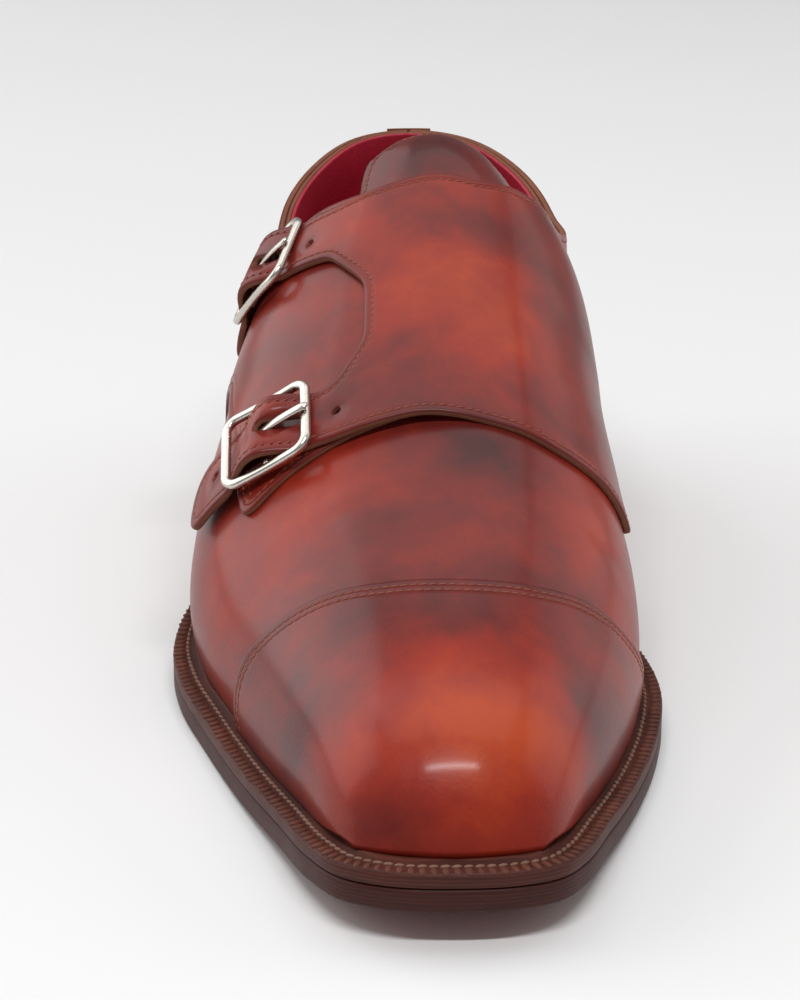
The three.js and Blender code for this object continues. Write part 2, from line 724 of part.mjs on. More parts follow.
function makeQuarter() {
  const polygon = roundedOutline([...QUARTER_FRONT, ...rearBoundary(-1, sectionOf(144), COLLAR_FRONT - 0.3)]);
  const field = (x, y) => distanceInside(polygon, x, y);
  const grid = clippedGrid([...spaced(-2, 34, 4), ...spaced(34, 224, 8).slice(1)], spaced(-118, -8, 6.2), field);
  return sheet(grid.vertices, grid.faces, () => LAYER_GAP + QUARTER_THICKNESS, () => LAYER_GAP);
}

/** Strap panel with shallow seats where the buckles and their tabs press into the straps. */
function makePanel() {
  const polygon = roundedOutline([...PANEL_FRONT, ...rearBoundary(1, sectionOf(143), COLLAR_FRONT).reverse()]);
  const slots = BUCKLES.map((buckle) => (station, girth) => {
    const { along, across } = strapPlace(buckle, station, girth);
    const middle = clamp(along, PRONG_SLOT.from + PRONG_SLOT.half, PRONG_SLOT.to - PRONG_SLOT.half);
    const gap = Math.hypot(along - middle, across);
    const scale = PRONG_SLOT.half / (gap || 1);
    const ax = middle + (along - middle) * scale;
    const ac = across * scale;
    return {
      distance: gap - PRONG_SLOT.half,
      nearest: [
        buckle.at[0] + ax * buckle.run[0] + ac * buckle.run[1],
        buckle.at[1] + ax * buckle.run[1] - ac * buckle.run[0]] };
  });
  const field = (x, y) => [distanceInside(polygon, x, y), ...slots.map((slot) => slot(x, y))]
    .reduce((least, other) => (other.distance < least.distance ? other : least));
  const columns = [...spaced(-2, 34, 4), ...spaced(34, 112, 9.8).slice(1), ...spaced(112, 218, 5.3).slice(1)];
  const rows = [...spaced(-88, -24, 4.6), ...spaced(-24, 106, 6.8).slice(1)];
  const grid = clippedGrid(columns, rows, field);
  const skin = sheet(grid.vertices, grid.faces, (x, y) => panelUnder(x, y) + PANEL_THICKNESS, panelUnder);
  let solid = toManifold([...skin.attributes.position.array]);
  for (const buckle of BUCKLES) {
    for (const geometry of [makeBuckleFrame(buckle, SEAT), makeProng(buckle, SEAT), makeTab(buckle, SEAT)]) {
      solid = solid.subtract(toManifold([...geometry.attributes.position.array]));
    }
  }
  return plain(fromManifold(solid));
}

function plain(positions) {
  const geometry = new THREE.BufferGeometry();
  geometry.setAttribute('position', new THREE.Float32BufferAttribute(positions, 3));
  geometry.computeVertexNormals();
  return geometry;
}

function makeTongue() {
  const polygon = roundedOutline(TONGUE_OUTLINE);
  const field = (x, y) => distanceInside(polygon, x, y);
  const grid = clippedGrid([...spaced(112, 140, 4), ...spaced(140, 190, 10).slice(1)], spaced(-40, 38, 5.6), field);
  const under = -UPPER_WALL - TONGUE_DROP - TONGUE_THICKNESS;
  return sheet(grid.vertices, grid.faces, () => under + TONGUE_THICKNESS, () => under, true);
}

// ---- buckles ----
/** Frame of a buckle: origin on the upper, x along the strap, y across it, z outward. */
function buckleFrame(buckle) {
  const [station, girth] = buckle.at;
  const step = 2;
  const origin = bodyPoint(station, girth);
  const z = bodyNormal(station, girth);
  const x = bodyPoint(station + step * buckle.run[0], girth + step * buckle.run[1])
    .sub(bodyPoint(station - step * buckle.run[0], girth - step * buckle.run[1]));
  const stretch = x.length() / (2 * step);
  x.addScaledVector(z, -x.dot(z)).normalize();
  return { origin, x, y: z.clone().cross(x), z, stretch };
}

/** Greatest height above the buckle's plane of a level over the upper, across the strap. */
function heightOver(buckle, frame, along, level) {
  const run = along / frame.stretch;
  const heights = [-STRAP_HALF_WIDTH, 0, STRAP_HALF_WIDTH].map((across) => {
    const station = buckle.at[0] + run * buckle.run[0] + across * buckle.run[1];
    const girth = buckle.at[1] + run * buckle.run[1] - across * buckle.run[0];
    const p = bodyPoint(station, girth).addScaledVector(bodyNormal(station, girth), level);
    return p.sub(frame.origin).dot(frame.z);
  });
  return Math.max(...heights);
}

/** Solid swept along a path of (x, y, z) with an oval or flat cross section. */
function sweep(path, halfWidth, halfHeight, closedLoop, sideways, sides) {
  const rings = path.map((p, i) => {
    const count = path.length;
    const before = path[closedLoop ? (i + count - 1) % count : Math.max(i - 1, 0)];
    const after = path[closedLoop ? (i + 1) % count : Math.min(i + 1, count - 1)];
    const forward = after.clone().sub(before).normalize();
    const wide = sideways.clone().cross(forward).normalize();
    const tall = forward.clone().cross(wide);
    return Array.from({ length: sides }, (_, k) => {
      const angle = 2 * Math.PI * (k + 0.5) / sides;
      return p.clone().addScaledVector(wide, halfWidth * Math.cos(angle))
        .addScaledVector(tall, halfHeight * Math.sin(angle));
    });
  });
  const positions = [];
  const add = (a, b, c) => positions.push(...a.toArray(), ...b.toArray(), ...c.toArray());
  const loops = closedLoop ? rings.length : rings.length - 1;
  for (let i = 0; i < loops; i += 1) {
    const a = rings[i];
    const b = rings[(i + 1) % rings.length];
    for (let k = 0; k < sides; k += 1) {
      const m = (k + 1) % sides;
      add(a[k], a[m], b[m]);
      add(a[k], b[m], b[k]);
    }
  }
  if (!closedLoop) {
    const [first, last] = [rings[0], rings[rings.length - 1]];
    for (let k = 1; k + 1 < sides; k += 1) {
      add(first[0], first[k + 1], first[k]);
      add(last[0], last[k], last[k + 1]);
    }
  }
  return positions;
}

/** Indexed manifold solid from loose triangles. */
function toManifold(positions) {
  const names = new Map();
  const vertices = [];
  const indices = [];
  for (let i = 0; i < positions.length; i += 3) {
    const point = positions.slice(i, i + 3);
    const key = point.map((v) => Math.round(v * 2000)).join(' ');
    if (!names.has(key)) {
      names.set(key, vertices.length / 3);
      vertices.push(...point);
    }
    indices.push(names.get(key));
  }
  const mesh = new wasm.Mesh({
    numProp: 3, vertProperties: new Float32Array(vertices), triVerts: new Uint32Array(indices) });
  mesh.merge();
  const solid = new wasm.Manifold(mesh);
  return solid.volume() < 0 ? null : solid;
}

function fromManifold(solid) {
  const mesh = solid.getMesh();
  const positions = [];
  for (const index of mesh.triVerts) {
    for (let k = 0; k < 3; k += 1) positions.push(mesh.vertProperties[index * mesh.numProp + k]);
  }
  return positions;
}

/** Geometry of loose triangles carried from a buckle's frame into the shoe. */
function fromFrame(frame, positions) {
  const turn = new THREE.Matrix4().makeBasis(frame.x, frame.y, frame.z).setPosition(frame.origin);
  const geometry = new THREE.BufferGeometry();
  geometry.setAttribute('position', new THREE.Float32BufferAttribute(positions, 3));
  geometry.applyMatrix4(turn);
  geometry.computeVertexNormals();
  return geometry;
}

/** Heights in a buckle's frame of the near, centre and far bars. */
function barHeights(buckle, frame) {
  const clear = OVER_QUARTER + PANEL_THICKNESS + GAP + FRAME_BAR_HALF;
  return {
    near: heightOver(buckle, frame, -FRAME_REACH, clear + 0.2),
    centre: OVER_QUARTER + TAB_THICKNESS + 0.15 + BAR_RADIUS + 0.15,
    far: heightOver(buckle, frame, FRAME_REACH, clear + 0.2) };
}

/** Height of the frame's own line at x, through its three bars. */
function frameHeight(heights, x) {
  const t = x / FRAME_REACH;
  const bow = (heights.near + heights.far) / 2 - heights.centre;
  return heights.centre + (heights.far - heights.near) / 2 * t + bow * t * t;
}

const upward = new THREE.Vector3(0, 0, 1);
const sideward = new THREE.Vector3(0, 1, 0);

function makeBuckleFrame(buckle, grow = 0) {
  const frame = buckleFrame(buckle);
  const heights = barHeights(buckle, frame);
  const path = [];
  const corner = FRAME_CORNER;
  const corners = [[1, 1, 0], [-1, 1, 90], [-1, -1, 180], [1, -1, 270]];
  for (const [sx, sy, turn] of corners) {
    for (let k = 0; k <= 5; k += 1) {
      const angle = (turn + 18 * k) * Math.PI / 180;
      const x = sx * (FRAME_REACH - corner) + corner * Math.cos(angle);
      const y = sy * (FRAME_HALF_WIDTH - corner) + corner * Math.sin(angle);
      path.push(new THREE.Vector3(x, y, frameHeight(heights, x)));
    }
  }
  const loop = toManifold(sweep(path, FRAME_BAR_HALF + grow, FRAME_BAR_HALF * 0.85 + grow, true, upward, 8));
  const bar = [-1, 1].map((s) => new THREE.Vector3(0, s * FRAME_HALF_WIDTH, heights.centre));
  const centre = toManifold(sweep(bar, BAR_RADIUS + grow, BAR_RADIUS + grow, false, upward, 8));
  return fromFrame(frame, fromManifold(loop.add(centre)));
}

const ring = (angle, radius, height) => new THREE.Vector3(
  radius * Math.cos(angle * Math.PI / 180), 0, height + radius * Math.sin(angle * Math.PI / 180));

function makeProng(buckle, grow = 0) {
  const frame = buckleFrame(buckle);
  const heights = barHeights(buckle, frame);
  const radius = BAR_RADIUS + 0.15 + PRONG_THICKNESS / 2;
  const path = [];
  for (let angle = -160; angle <= 95; angle += 25.5) path.push(ring(angle, radius, heights.centre));
  const rest = heights.near + FRAME_BAR_HALF * 0.85 + 0.12 + PRONG_THICKNESS / 2;
  path.push(new THREE.Vector3(-FRAME_REACH * 0.55, 0, mix(heights.centre + radius, rest, 0.62) + 0.5));
  path.push(new THREE.Vector3(-FRAME_REACH, 0, rest));
  path.push(new THREE.Vector3(-FRAME_REACH - 1.6, 0, rest - 0.1));
  return fromFrame(frame, sweep(path, PRONG_THICKNESS / 2 + grow, PRONG_HALF_WIDTH + grow, false, sideward, 8));
}

function makeTab(buckle, grow = 0) {
  const frame = buckleFrame(buckle);
  const heights = barHeights(buckle, frame);
  const radius = BAR_RADIUS + 0.15 + TAB_THICKNESS / 2;
  const level = OVER_QUARTER + TAB_THICKNESS / 2;
  const path = [7, 5.2, 3.4].map((x) => new THREE.Vector3(x, 0, heightOver(buckle, frame, x, level)));
  for (let angle = -90; angle >= -330; angle -= 24) path.push(ring(angle, radius, heights.centre));
  const thick = TAB_THICKNESS / 2 + grow;
  const loose = [];
  const rings = path.map((p, i) => {
    const before = path[Math.max(i - 1, 0)];
    const after = path[Math.min(i + 1, path.length - 1)];
    const forward = after.clone().sub(before).normalize();
    const across = new THREE.Vector3(-forward.z, 0, forward.x);
    return [[1, 1], [1, -1], [-1, -1], [-1, 1]].map(([w, h]) => p.clone()
      .addScaledVector(sideward, w * (TAB_HALF_WIDTH + grow)).addScaledVector(across, h * thick));
  });
  const add = (a, b, c) => loose.push(...a.toArray(), ...b.toArray(), ...c.toArray());
  for (let i = 0; i + 1 < rings.length; i += 1) {
    for (let k = 0; k < 4; k += 1) {
      const m = (k + 1) % 4;
      add(rings[i][k], rings[i + 1][m], rings[i][m]);
      add(rings[i][k], rings[i + 1][k], rings[i + 1][m]);
    }
  }
  const [first, last] = [rings[0], rings[rings.length - 1]];
  for (const k of [1, 2]) {
    add(first[0], first[k], first[k + 1]);
    add(last[0], last[k + 1], last[k]);
  }
  const slotHalf = PRONG_HALF_WIDTH + 0.4 - grow;
  const cutter = new THREE.BoxGeometry(9.2, 2 * slotHalf, 12).toNonIndexed();
  cutter.translate(3.2 - 4.6, 0, heights.centre);
  const strip = toManifold(loose);
  return fromFrame(frame, fromManifold(strip.subtract(toManifold([...cutter.attributes.position.array]))));
}

// ---- assembly ----
const LEATHER = 0x7a2a1a;
const heelTop = (u) => soleUnder(u) - GAP;
const pieces = [
  ['outsole', makeOutsole(), 0x3a1d14],
  ['welt', makeWelt(), 0x4a2a1c],
  ['insole', makeInsole(), 0x9a1b24],
  ['heel_stack', makeHeel(heelTop, () => TOP_PIECE_THICKNESS + GAP, 0.4, 0.4 + HEEL_TAPER * 0.7), 0x2a1712],
  ['heel_top_piece', makeHeel(() => TOP_PIECE_THICKNESS, () => 0, 0.4 + HEEL_TAPER * 0.7, 0.4 + HEEL_TAPER), 0x1c1210],
  ['upper', makeUpper(), LEATHER],
  ['toe_cap', makeToeCap(), 0x8a3020],
  ['outer_quarter', makeQuarter(), 0x6f2719],
  ['strap_panel', makePanel(), 0x93361f],
  ['tongue', makeTongue(), 0x6a2a20],
  ['buckle_tab_upper', makeTab(BUCKLE_UPPER), LEATHER],
  ['buckle_tab_lower', makeTab(BUCKLE_LOWER), LEATHER],
  ['buckle_frame_upper', makeBuckleFrame(BUCKLE_UPPER), 0xc9c5bb],
  ['buckle_frame_lower', makeBuckleFrame(BUCKLE_LOWER), 0xc9c5bb],
  ['buckle_prong_upper', makeProng(BUCKLE_UPPER), 0xc9c5bb],
  ['buckle_prong_lower', makeProng(BUCKLE_LOWER), 0xc9c5bb]];

const shoe = new THREE.Group();
const box = new THREE.Box3();
for (const [, geometry] of pieces) {
  geometry.computeBoundingBox();
  box.union(geometry.boundingBox);
}
const centre = box.getCenter(new THREE.Vector3());
for (const [name, geometry, color] of pieces) {
  geometry.translate(-centre.x, -centre.y, -box.min.z);
  const metal = name.startsWith('buckle_frame') || name.startsWith('buckle_prong');
  const finish = new THREE.MeshStandardMaterial({ color, metalness: metal ? 0.9 : 0, roughness: metal ? 0.3 : 0.5 });
  const mesh = new THREE.Mesh(geometry, finish);
  mesh.name = name;
  shoe.add(mesh);
}
export default shoe;
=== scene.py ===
"""Right-foot leather shoe with a toe cap and two buckled straps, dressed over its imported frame.

Sizes are in millimetres until a mesh is made. Shoe lengths run forward from the back of the heel.
A station is a length walked along the shoe's middle, a girth is measured down from the ridge of
the instep, positive on the inner side.
"""
import logging
import math
from collections.abc import Callable, Sequence
from dataclasses import dataclass, field
from enum import Enum
from typing import Any

import bpy
import numpy as np
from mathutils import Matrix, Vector
from mathutils.geometry import delaunay_2d_cdt


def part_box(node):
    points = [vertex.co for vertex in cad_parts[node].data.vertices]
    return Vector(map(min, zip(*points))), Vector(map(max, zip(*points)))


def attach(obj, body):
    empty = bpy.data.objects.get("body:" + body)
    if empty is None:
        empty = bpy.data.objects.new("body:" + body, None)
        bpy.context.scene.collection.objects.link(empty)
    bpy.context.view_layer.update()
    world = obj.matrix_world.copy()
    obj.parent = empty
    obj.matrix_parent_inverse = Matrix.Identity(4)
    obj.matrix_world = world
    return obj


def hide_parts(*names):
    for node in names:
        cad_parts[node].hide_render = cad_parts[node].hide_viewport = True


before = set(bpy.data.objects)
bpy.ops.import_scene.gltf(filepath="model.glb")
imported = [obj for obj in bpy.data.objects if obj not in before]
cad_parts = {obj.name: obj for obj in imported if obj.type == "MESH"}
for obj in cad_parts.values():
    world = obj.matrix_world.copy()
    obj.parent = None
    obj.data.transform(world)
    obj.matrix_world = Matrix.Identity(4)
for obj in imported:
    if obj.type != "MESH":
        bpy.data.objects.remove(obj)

LOG = logging.getLogger("shoe")
MM = 0.001
CORNER_POINTS = 9
UP = np.array([0.0, 0.0, 1.0])
ACROSS = np.array([0.0, 1.0, 0.0])
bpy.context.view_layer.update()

Array = np.ndarray
Colour = tuple[float, float, float]
Table = Sequence[Sequence[float]]
Faces = list[tuple[int, ...]]


# ---- small maths ----

def smooth(value: Array) -> Array:
    """Smooth step of a value already between 0 and 1."""
    return value * value * (3.0 - 2.0 * value)


def bump(value: Array, width: float) -> Array:
    """Bell of height 1 at zero, with the given width."""
    return np.exp(-(value / width) ** 2)


def through_table(rows: Table, at: Array) -> Array:
    """Smooth curve through table rows that never overshoots them.

    Args:
        rows: Pairs of place and value, in rising order of place.
        at: Places to read, clamped to the table.

    Returns:
        The values at those places.
    """
    x = np.array([row[0] for row in rows], float)
    y = np.array([row[1] for row in rows], float)
    width = np.diff(x)
    slope = np.diff(y) / width
    tangent = np.zeros(len(x))
    tangent[0], tangent[-1] = slope[0], slope[-1]
    for i in range(1, len(x) - 1):
        a, b = slope[i - 1], slope[i]
        tangent[i] = 0.0 if a * b <= 0 else 2 * a * b / (a + b)
    at = np.clip(at, x[0], x[-1])
    i = np.clip(np.searchsorted(x, at, side="right") - 1, 0, len(width) - 1)
    t = (at - x[i]) / width[i]
    return (y[i] * (1 + 2 * t) * (1 - t) ** 2 + tangent[i] * width[i] * t * (1 - t) ** 2
            + y[i + 1] * t * t * (3 - 2 * t) + tangent[i + 1] * width[i] * t * t * (t - 1))


def unit(vectors: Array) -> Array:
    """Vectors scaled to length one."""
    return vectors / np.maximum(np.linalg.norm(vectors, axis=-1, keepdims=True), 1e-12)


def arc_lengths(points: Array) -> Array:
    """Length walked along a line of points, starting at zero."""
    steps = np.linalg.norm(np.diff(points, axis=0), axis=1)
    return np.concatenate([[0.0], np.cumsum(steps)])


def resampled(points: Array, step: float, closed: bool = False) -> Array:
    """A line walked again at even steps.

    Args:
        points: Corner points of the line.
        step: Wanted step.
        closed: Whether the line returns to its start.

    Returns:
        Evenly spaced points; a closed line does not repeat its first point.
    """
    line = np.vstack([points, points[:1]]) if closed else points
    arcs = arc_lengths(line)
    count = max(int(math.ceil(arcs[-1] / step)), 3)
    places = np.linspace(0.0, arcs[-1], count + 1)
    if closed:
        places = places[:-1]
    return np.stack([np.interp(places, arcs, line[:, k]) for k in range(line.shape[1])], axis=1)


# ---- shape of the shoe ----

class Side(Enum):
    """The two sides of the shoe, by the sign of their girths."""

    INNER = 1
    OUTER = -1


@dataclass
class Last:
    """Form that the shoe is made over: the sole's outline and the surface of the upper."""

    length: float = 304.0
    sole: float = 5.0
    welt: float = 3.0
    gap: float = 0.3
    wall: float = 2.2
    outline_inner: Table = (
        (0, 0), (4.4, 16.5), (16.5, 28.6), (33, 32.6), (60, 31.5), (90, 27.5), (115, 27),
        (140, 32), (165, 42), (188, 49), (208, 50.5), (230, 47), (254, 40), (276, 31.8),
        (291, 26), (299, 20.5), (303, 12))
    outline_outer: Table = (
        (0, 0), (4.4, 16.5), (16.5, 28.8), (33, 33.2), (60, 34), (90, 34.5), (112, 38),
        (135, 46.5), (158, 56), (178, 59.5), (198, 57.3), (222, 50), (246, 42), (268, 34),
        (286, 27.8), (297, 21.5), (302.5, 12))
    sole_profile: Table = (
        (-10, 26), (0, 26), (35, 25.4), (70, 24), (90, 20.5), (110, 14.8), (130, 9), (150, 4.3),
        (168, 1.2), (182, 0), (218, 0), (240, 0.5), (260, 1.9), (280, 4.2), (304, 7.6), (320, 10))
    welt_margin: Table = (
        (0, 2), (0.2, 1.6), (0.33, 1), (0.45, 2.2), (0.55, 5), (0.65, 6.2), (0.9, 6.8), (1, 7.2))
    # arc, top length, top height, top x, opening, swell outer, swell inner, stand, shoulder, fall
    sections: Table = (
        (0, 10, 105, 0, 0, 6, 6, 34, 0, 36),
        (15, 13, 105, 0, 13.5, 6, 6, 34, 0, 36),
        (31, 25, 106, 1, 25, 5, 6, 34, 0, 36),
        (50, 44, 108, 1, 32, 5, 7, 34, 0, 36),
        (72, 66, 111, 1, 34, 8, 10, 34, 0, 34),
        (94, 86, 115, 4, 31, 14, 20, 38, 0.2, 24),
        (114, 101, 117, 9, 0, 20, 30, 46, 0.5, 8),
        (130, 115, 108, 13, 0, 23, 36, 50, 0.66, 4),
        (147, 130, 98, 13, 0, 20, 35, 48, 0.68, 3),
        (166, 148, 87, 12, 0, 14, 28, 41, 0.66, 2),
        (186, 168, 76, 10, 0, 10, 19, 33, 0.64, 2),
        (207, 190, 65, 8, 0, 7, 12, 26, 0.62, 2),
        (228, 212, 55, 5, 0, 4, 5, 20, 0.6, 1),
        (248, 233, 48, 4, 0, 3, 3, 19, 0.6, 1),
        (266, 251, 43, 3, 0, 3, 3, 18, 0.62, 0),
        (282, 267, 40, 2, 0, 3, 3, 17, 0.66, 0),
        (295, 280, 36.5, 1, 0, 2.5, 2.5, 14, 0.68, 0),
        (304, 290, 29.5, 0.5, 0, 2, 2, 9, 0.66, 0),
        (309.5, 294.5, 21.5, 0.5, 0, 1, 1, 4, 0.62, 0),
        (313, 296.8, 15.2, 0.5, 0, 0.5, 0.5, 0, 0.6, 0))
    collar_line: Table = (
        (-10, 95), (4, 94), (14, 91.5), (30, 86), (50, 81.5), (66, 79.5), (80, 80), (90, 83),
        (100, 88), (108, 93.5), (114, 98.5), (119, 104), (126, 111))
    # station, girth, half length, half width, depth of each crease of the leather
    creases: Table = (
        (221, 2, 22, 2.6, 0.2), (229, 30, 16, 3.0, 0.16), (233, -20, 18, 3.4, 0.13),
        (224, -36, 12, 2.4, 0.14))
    full_until: float = 6.9
    full_shoulder: float = 0.66
    full_fall: float = 5.0
    opening_end: float = 123.0
    ridge_reach: float = 13.0
    ridge_width: float = 34.0
    row_step: float = 0.0125
    girth_steps: int = 96
    share_steps: int = 160

    def __post_init__(self) -> None:
        """Work out the lines and tables that the surface is read from."""
        self.last_row = len(self.sections) - 1
        loop = self._outline_loop(24)
        toe = len(self.outline_inner) * 24
        self.outline = {Side.INNER: loop[:toe + 1],
                        Side.OUTER: np.vstack([loop[toe:], loop[:1]])[::-1]}
        self.normals = {side: self._normals(line, side) for side, line in self.outline.items()}
        self.feather = {}
        for side, line in self.outline.items():
            arcs = arc_lengths(line)
            margin = through_table(self.welt_margin, arcs / arcs[-1])
            self.feather[side] = line - self.normals[side] * margin[:, None]
        self.rows = np.arange(0.0, self.last_row + 1e-9, self.row_step)
        self.tables = {(side, closed): self._tables(side, closed)
                       for side in Side for closed in (False, True)}
        walk = sum(arc_lengths(self._bezier(self.tables[side, False]["controls"], 0.5))
                   for side in Side) / 2
        self.stations = walk
        low = np.min([line.min(axis=0) for line in self.outline.values()], axis=0)
        corner = np.array(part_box("outsole")[0]) / MM
        self.shift = np.array([corner[0] - low[0], corner[1] + self.length / 2, 0.0])

    def _outline_loop(self, steps: int) -> Array:
        """Closed centripetal curve through the outline tables, as (x, length) points.

        Args:
            steps: Points from one table row to the next.

        Returns:
            The loop, inner side first.
        """
        points = np.array([(x, u) for u, x in self.outline_inner] + [(0.5, self.length)]
                          + [(-x, u) for u, x in self.outline_outer[::-1][:-1]], float)
        count = len(points)
        out = []
        for i in range(count):
            p0, p1, p2, p3 = (points[(i + k - 1) % count] for k in range(4))
            spans = ((p0, p1), (p1, p2), (p2, p3))
            d0, d1, d2 = (math.sqrt(np.linalg.norm(b - a)) for a, b in spans)
            m1 = ((p1 - p0) / d0 - (p2 - p0) / (d0 + d1) + (p2 - p1) / d1) * d1
            m2 = ((p2 - p1) / d1 - (p3 - p1) / (d1 + d2) + (p3 - p2) / d2) * d1
            t = (np.arange(steps) / steps)[:, None]
            out.append((2 * t ** 3 - 3 * t * t + 1) * p1 + (t ** 3 - 2 * t * t + t) * m1
                       + (3 * t * t - 2 * t ** 3) * p2 + (t ** 3 - t * t) * m2)
        return np.vstack(out)

    @staticmethod
    def _normals(line: Array, side: Side) -> Array:
        """Outward directions along a half outline.

        Args:
            line: Half outline from heel to toe.
            side: Its side.

        Returns:
            A unit direction for each point.
        """
        along = unit(np.gradient(line, axis=0))
        normals = np.stack([along[:, 1], -along[:, 0]], axis=1) * side.value
        normals[0], normals[-1] = (0, -1), (0, 1)
        return normals

    def under(self, length: Array) -> Array:
        """Height of the underside of the sole at a length."""
        return through_table(self.sole_profile, length)

    def _section_values(self, rows: Array) -> Array:
        """Section columns at places between rows, as a smooth uniform B-spline.

        Args:
            rows: Row numbers, whole or between.

        Returns:
            One line of columns for each.
        """
        table = np.array(self.sections, float)
        mirrored = np.zeros(table.shape[1], bool)
        mirrored[[0, 4]] = True
        first = np.where(mirrored, -table[1], table[1])
        last = 2 * table[-1] - table[-2]
        table = np.vstack([first, table, last, last])
        i = np.clip(np.floor(rows).astype(int), 0, self.last_row - 1)
        t = (rows - i)[:, None]
        return ((1 - t) ** 3 * table[i] + (3 * t ** 3 - 6 * t * t + 4) * table[i + 1]
                + (-3 * t ** 3 + 3 * t * t + 3 * t + 1) * table[i + 2] + t ** 3 * table[i + 3]) / 6

    def _tables(self, side: Side, closed: bool) -> dict[str, Array]:
        """Control points, girths and collar cut of every fine row on one side.

        Args:
            side: Side of the half sections.
            closed: Whether the opening is spanned.

        Returns:
            The tables by name.
        """
        v = self._section_values(self.rows)
        if closed:
            v[:, 4] = 0.0
            full = np.clip((self.full_until - self.rows) / 1.2, 0, 1)
            v[:, 8] += (self.full_shoulder - v[:, 8]) * full
            v[:, 9] += (self.full_fall - v[:, 9]) * full
        line, normals = self.feather[side], self.normals[side]
        arcs = arc_lengths(line)
        foot = np.stack([np.interp(v[:, 0], arcs, line[:, k]) for k in (0, 1)], axis=1)
        out = unit(np.stack([np.interp(v[:, 0], arcs, normals[:, k]) for k in (0, 1)], axis=1))
        rise = self.sole + 2 * self.gap + self.welt
        base = np.column_stack([foot, self.under(foot[:, 1]) + rise])
        top = np.column_stack([v[:, 3] + side.value * v[:, 4], v[:, 1], v[:, 2]])
        swell = v[:, 6] if side is Side.INNER else v[:, 5]
        low = base + np.column_stack([out * swell[:, None], v[:, 7]])
        reach = np.abs(top[:, 0] - base[:, 0])
        high = top + np.column_stack([side.value * v[:, 8] * reach, 0 * reach, -v[:, 9]])
        controls = np.stack([base, low, high, top], axis=1)
        ts = np.linspace(1.0, 0.0, self.girth_steps + 1)
        walk = np.stack([self._bezier(controls, t) for t in ts], axis=1)
        down = np.concatenate([np.zeros((len(walk), 1)), np.cumsum(
            np.linalg.norm(np.diff(walk, axis=1), axis=2), axis=1)], axis=1)
        shares = np.linspace(0.0, 1.0, self.share_steps + 1)
        share_t = np.stack([np.interp(shares * row[-1], row, ts) for row in down])
        return {"controls": controls, "down": down, "total": down[:, -1], "share_t": share_t,
                "cut": self._cut(controls)}

    @staticmethod
    def _bezier(controls: Array, t: Any) -> Array:
        """Points at t of cubic half sections.

        Args:
            controls: Four control points of each.
            t: Share of each, from feather line to ridge.

        Returns:
            One point for each.
        """
        s = 1.0 - t
        return (controls[:, 0] * s ** 3 + controls[:, 1] * 3 * s * s * t
                + controls[:, 2] * 3 * s * t * t + controls[:, 3] * t ** 3)

    def _cut(self, controls: Array) -> Array:
        """How far up each half section the collar line cuts it, 1 where it does not.

        Args:
            controls: Four control points of each.

        Returns:
            The t of each cut.
        """
        low = np.full(len(controls), 0.3)
        high = np.ones(len(controls))
        top = self._bezier(controls, 1.0)
        reached = top[:, 2] > through_table(self.collar_line, top[:, 1])
        for _ in range(40):
            middle = (low + high) / 2
            p = self._bezier(controls, middle[:, None])
            above = p[:, 2] > through_table(self.collar_line, p[:, 1])
            high = np.where(above, middle, high)
            low = np.where(above, low, middle)
        return np.where(reached & (high <= 0.998), high, 1.0)

    def row_of(self, station: Array) -> Array:
        """Section row number at a station."""
        return np.interp(station, self.stations, self.rows)

    def station_of(self, row: Array) -> Array:
        """Station of a section row number."""
        return np.interp(row, self.rows, self.stations)

    def cut_at(self, row: Array, side: Side) -> Array:
        """Collar cut at a row, on one side."""
        return np.interp(row, self.rows, self.tables[side, False]["cut"])

    def total_at(self, row: Array, side: Side) -> Array:
        """Girth from ridge to feather line at a row."""
        return np.interp(row, self.rows, self.tables[side, False]["total"])

    @property
    def collar_front(self) -> float:
        """Row at which the collar line crosses the ridge."""
        cut = self.tables[Side.INNER, False]["cut"]
        return float(self.rows[np.nonzero(cut < 1.0)[0][-1]])

    def girth_at(self, row: Array, side: Side, t: Array) -> Array:
        """Signed girth at t of half sections.

        Args:
            row: Section rows.
            side: Their side.
            t: Share of each, from feather line to ridge.

        Returns:
            Girths, negative on the outer side.
        """
        table = self.tables[side, False]["down"]
        i = np.clip((np.asarray(row) / self.row_step).astype(int), 0, len(self.rows) - 2)
        f = np.asarray(row) / self.row_step - i
        at = (1.0 - t) * self.girth_steps
        k = np.clip(at.astype(int), 0, self.girth_steps - 1)
        g = at - k
        low = table[i, k] * (1 - g) + table[i, k + 1] * g
        high = table[i + 1, k] * (1 - g) + table[i + 1, k + 1] * g
        return side.value * (low * (1 - f) + high * f)

    def point(self, station: Array, girth: Array, closed: bool = False) -> Array:
        """Points of the upper's surface.

        Args:
            station: Stations of the points.
            girth: Signed girths of the points.
            closed: Whether the opening is spanned, as under the tongue.

        Returns:
            Points in the frame's directions, in millimetres.
        """
        station, girth = np.broadcast_arrays(np.asarray(station, float), np.asarray(girth, float))
        out = self._raw(station, girth, closed)
        open_part = np.clip((self.opening_end - station) / 6.0, 0, 1) * (not closed)
        broad = 1.15 if closed else 1.0
        fade = np.clip(1.25 - np.abs(girth) / (self.ridge_width * broad), 0, 1)
        reach = self.ridge_reach * broad * fade * (1 - open_part)
        near = reach > 0.05
        if near.any():
            total = np.zeros((int(near.sum()), 3))
            steps = np.linspace(-1, 1, 13)
            for step in steps:
                total += self._raw(station[near], girth[near] + step * reach[near], closed)
            out[near] = total / len(steps)
        return self.placed(out)

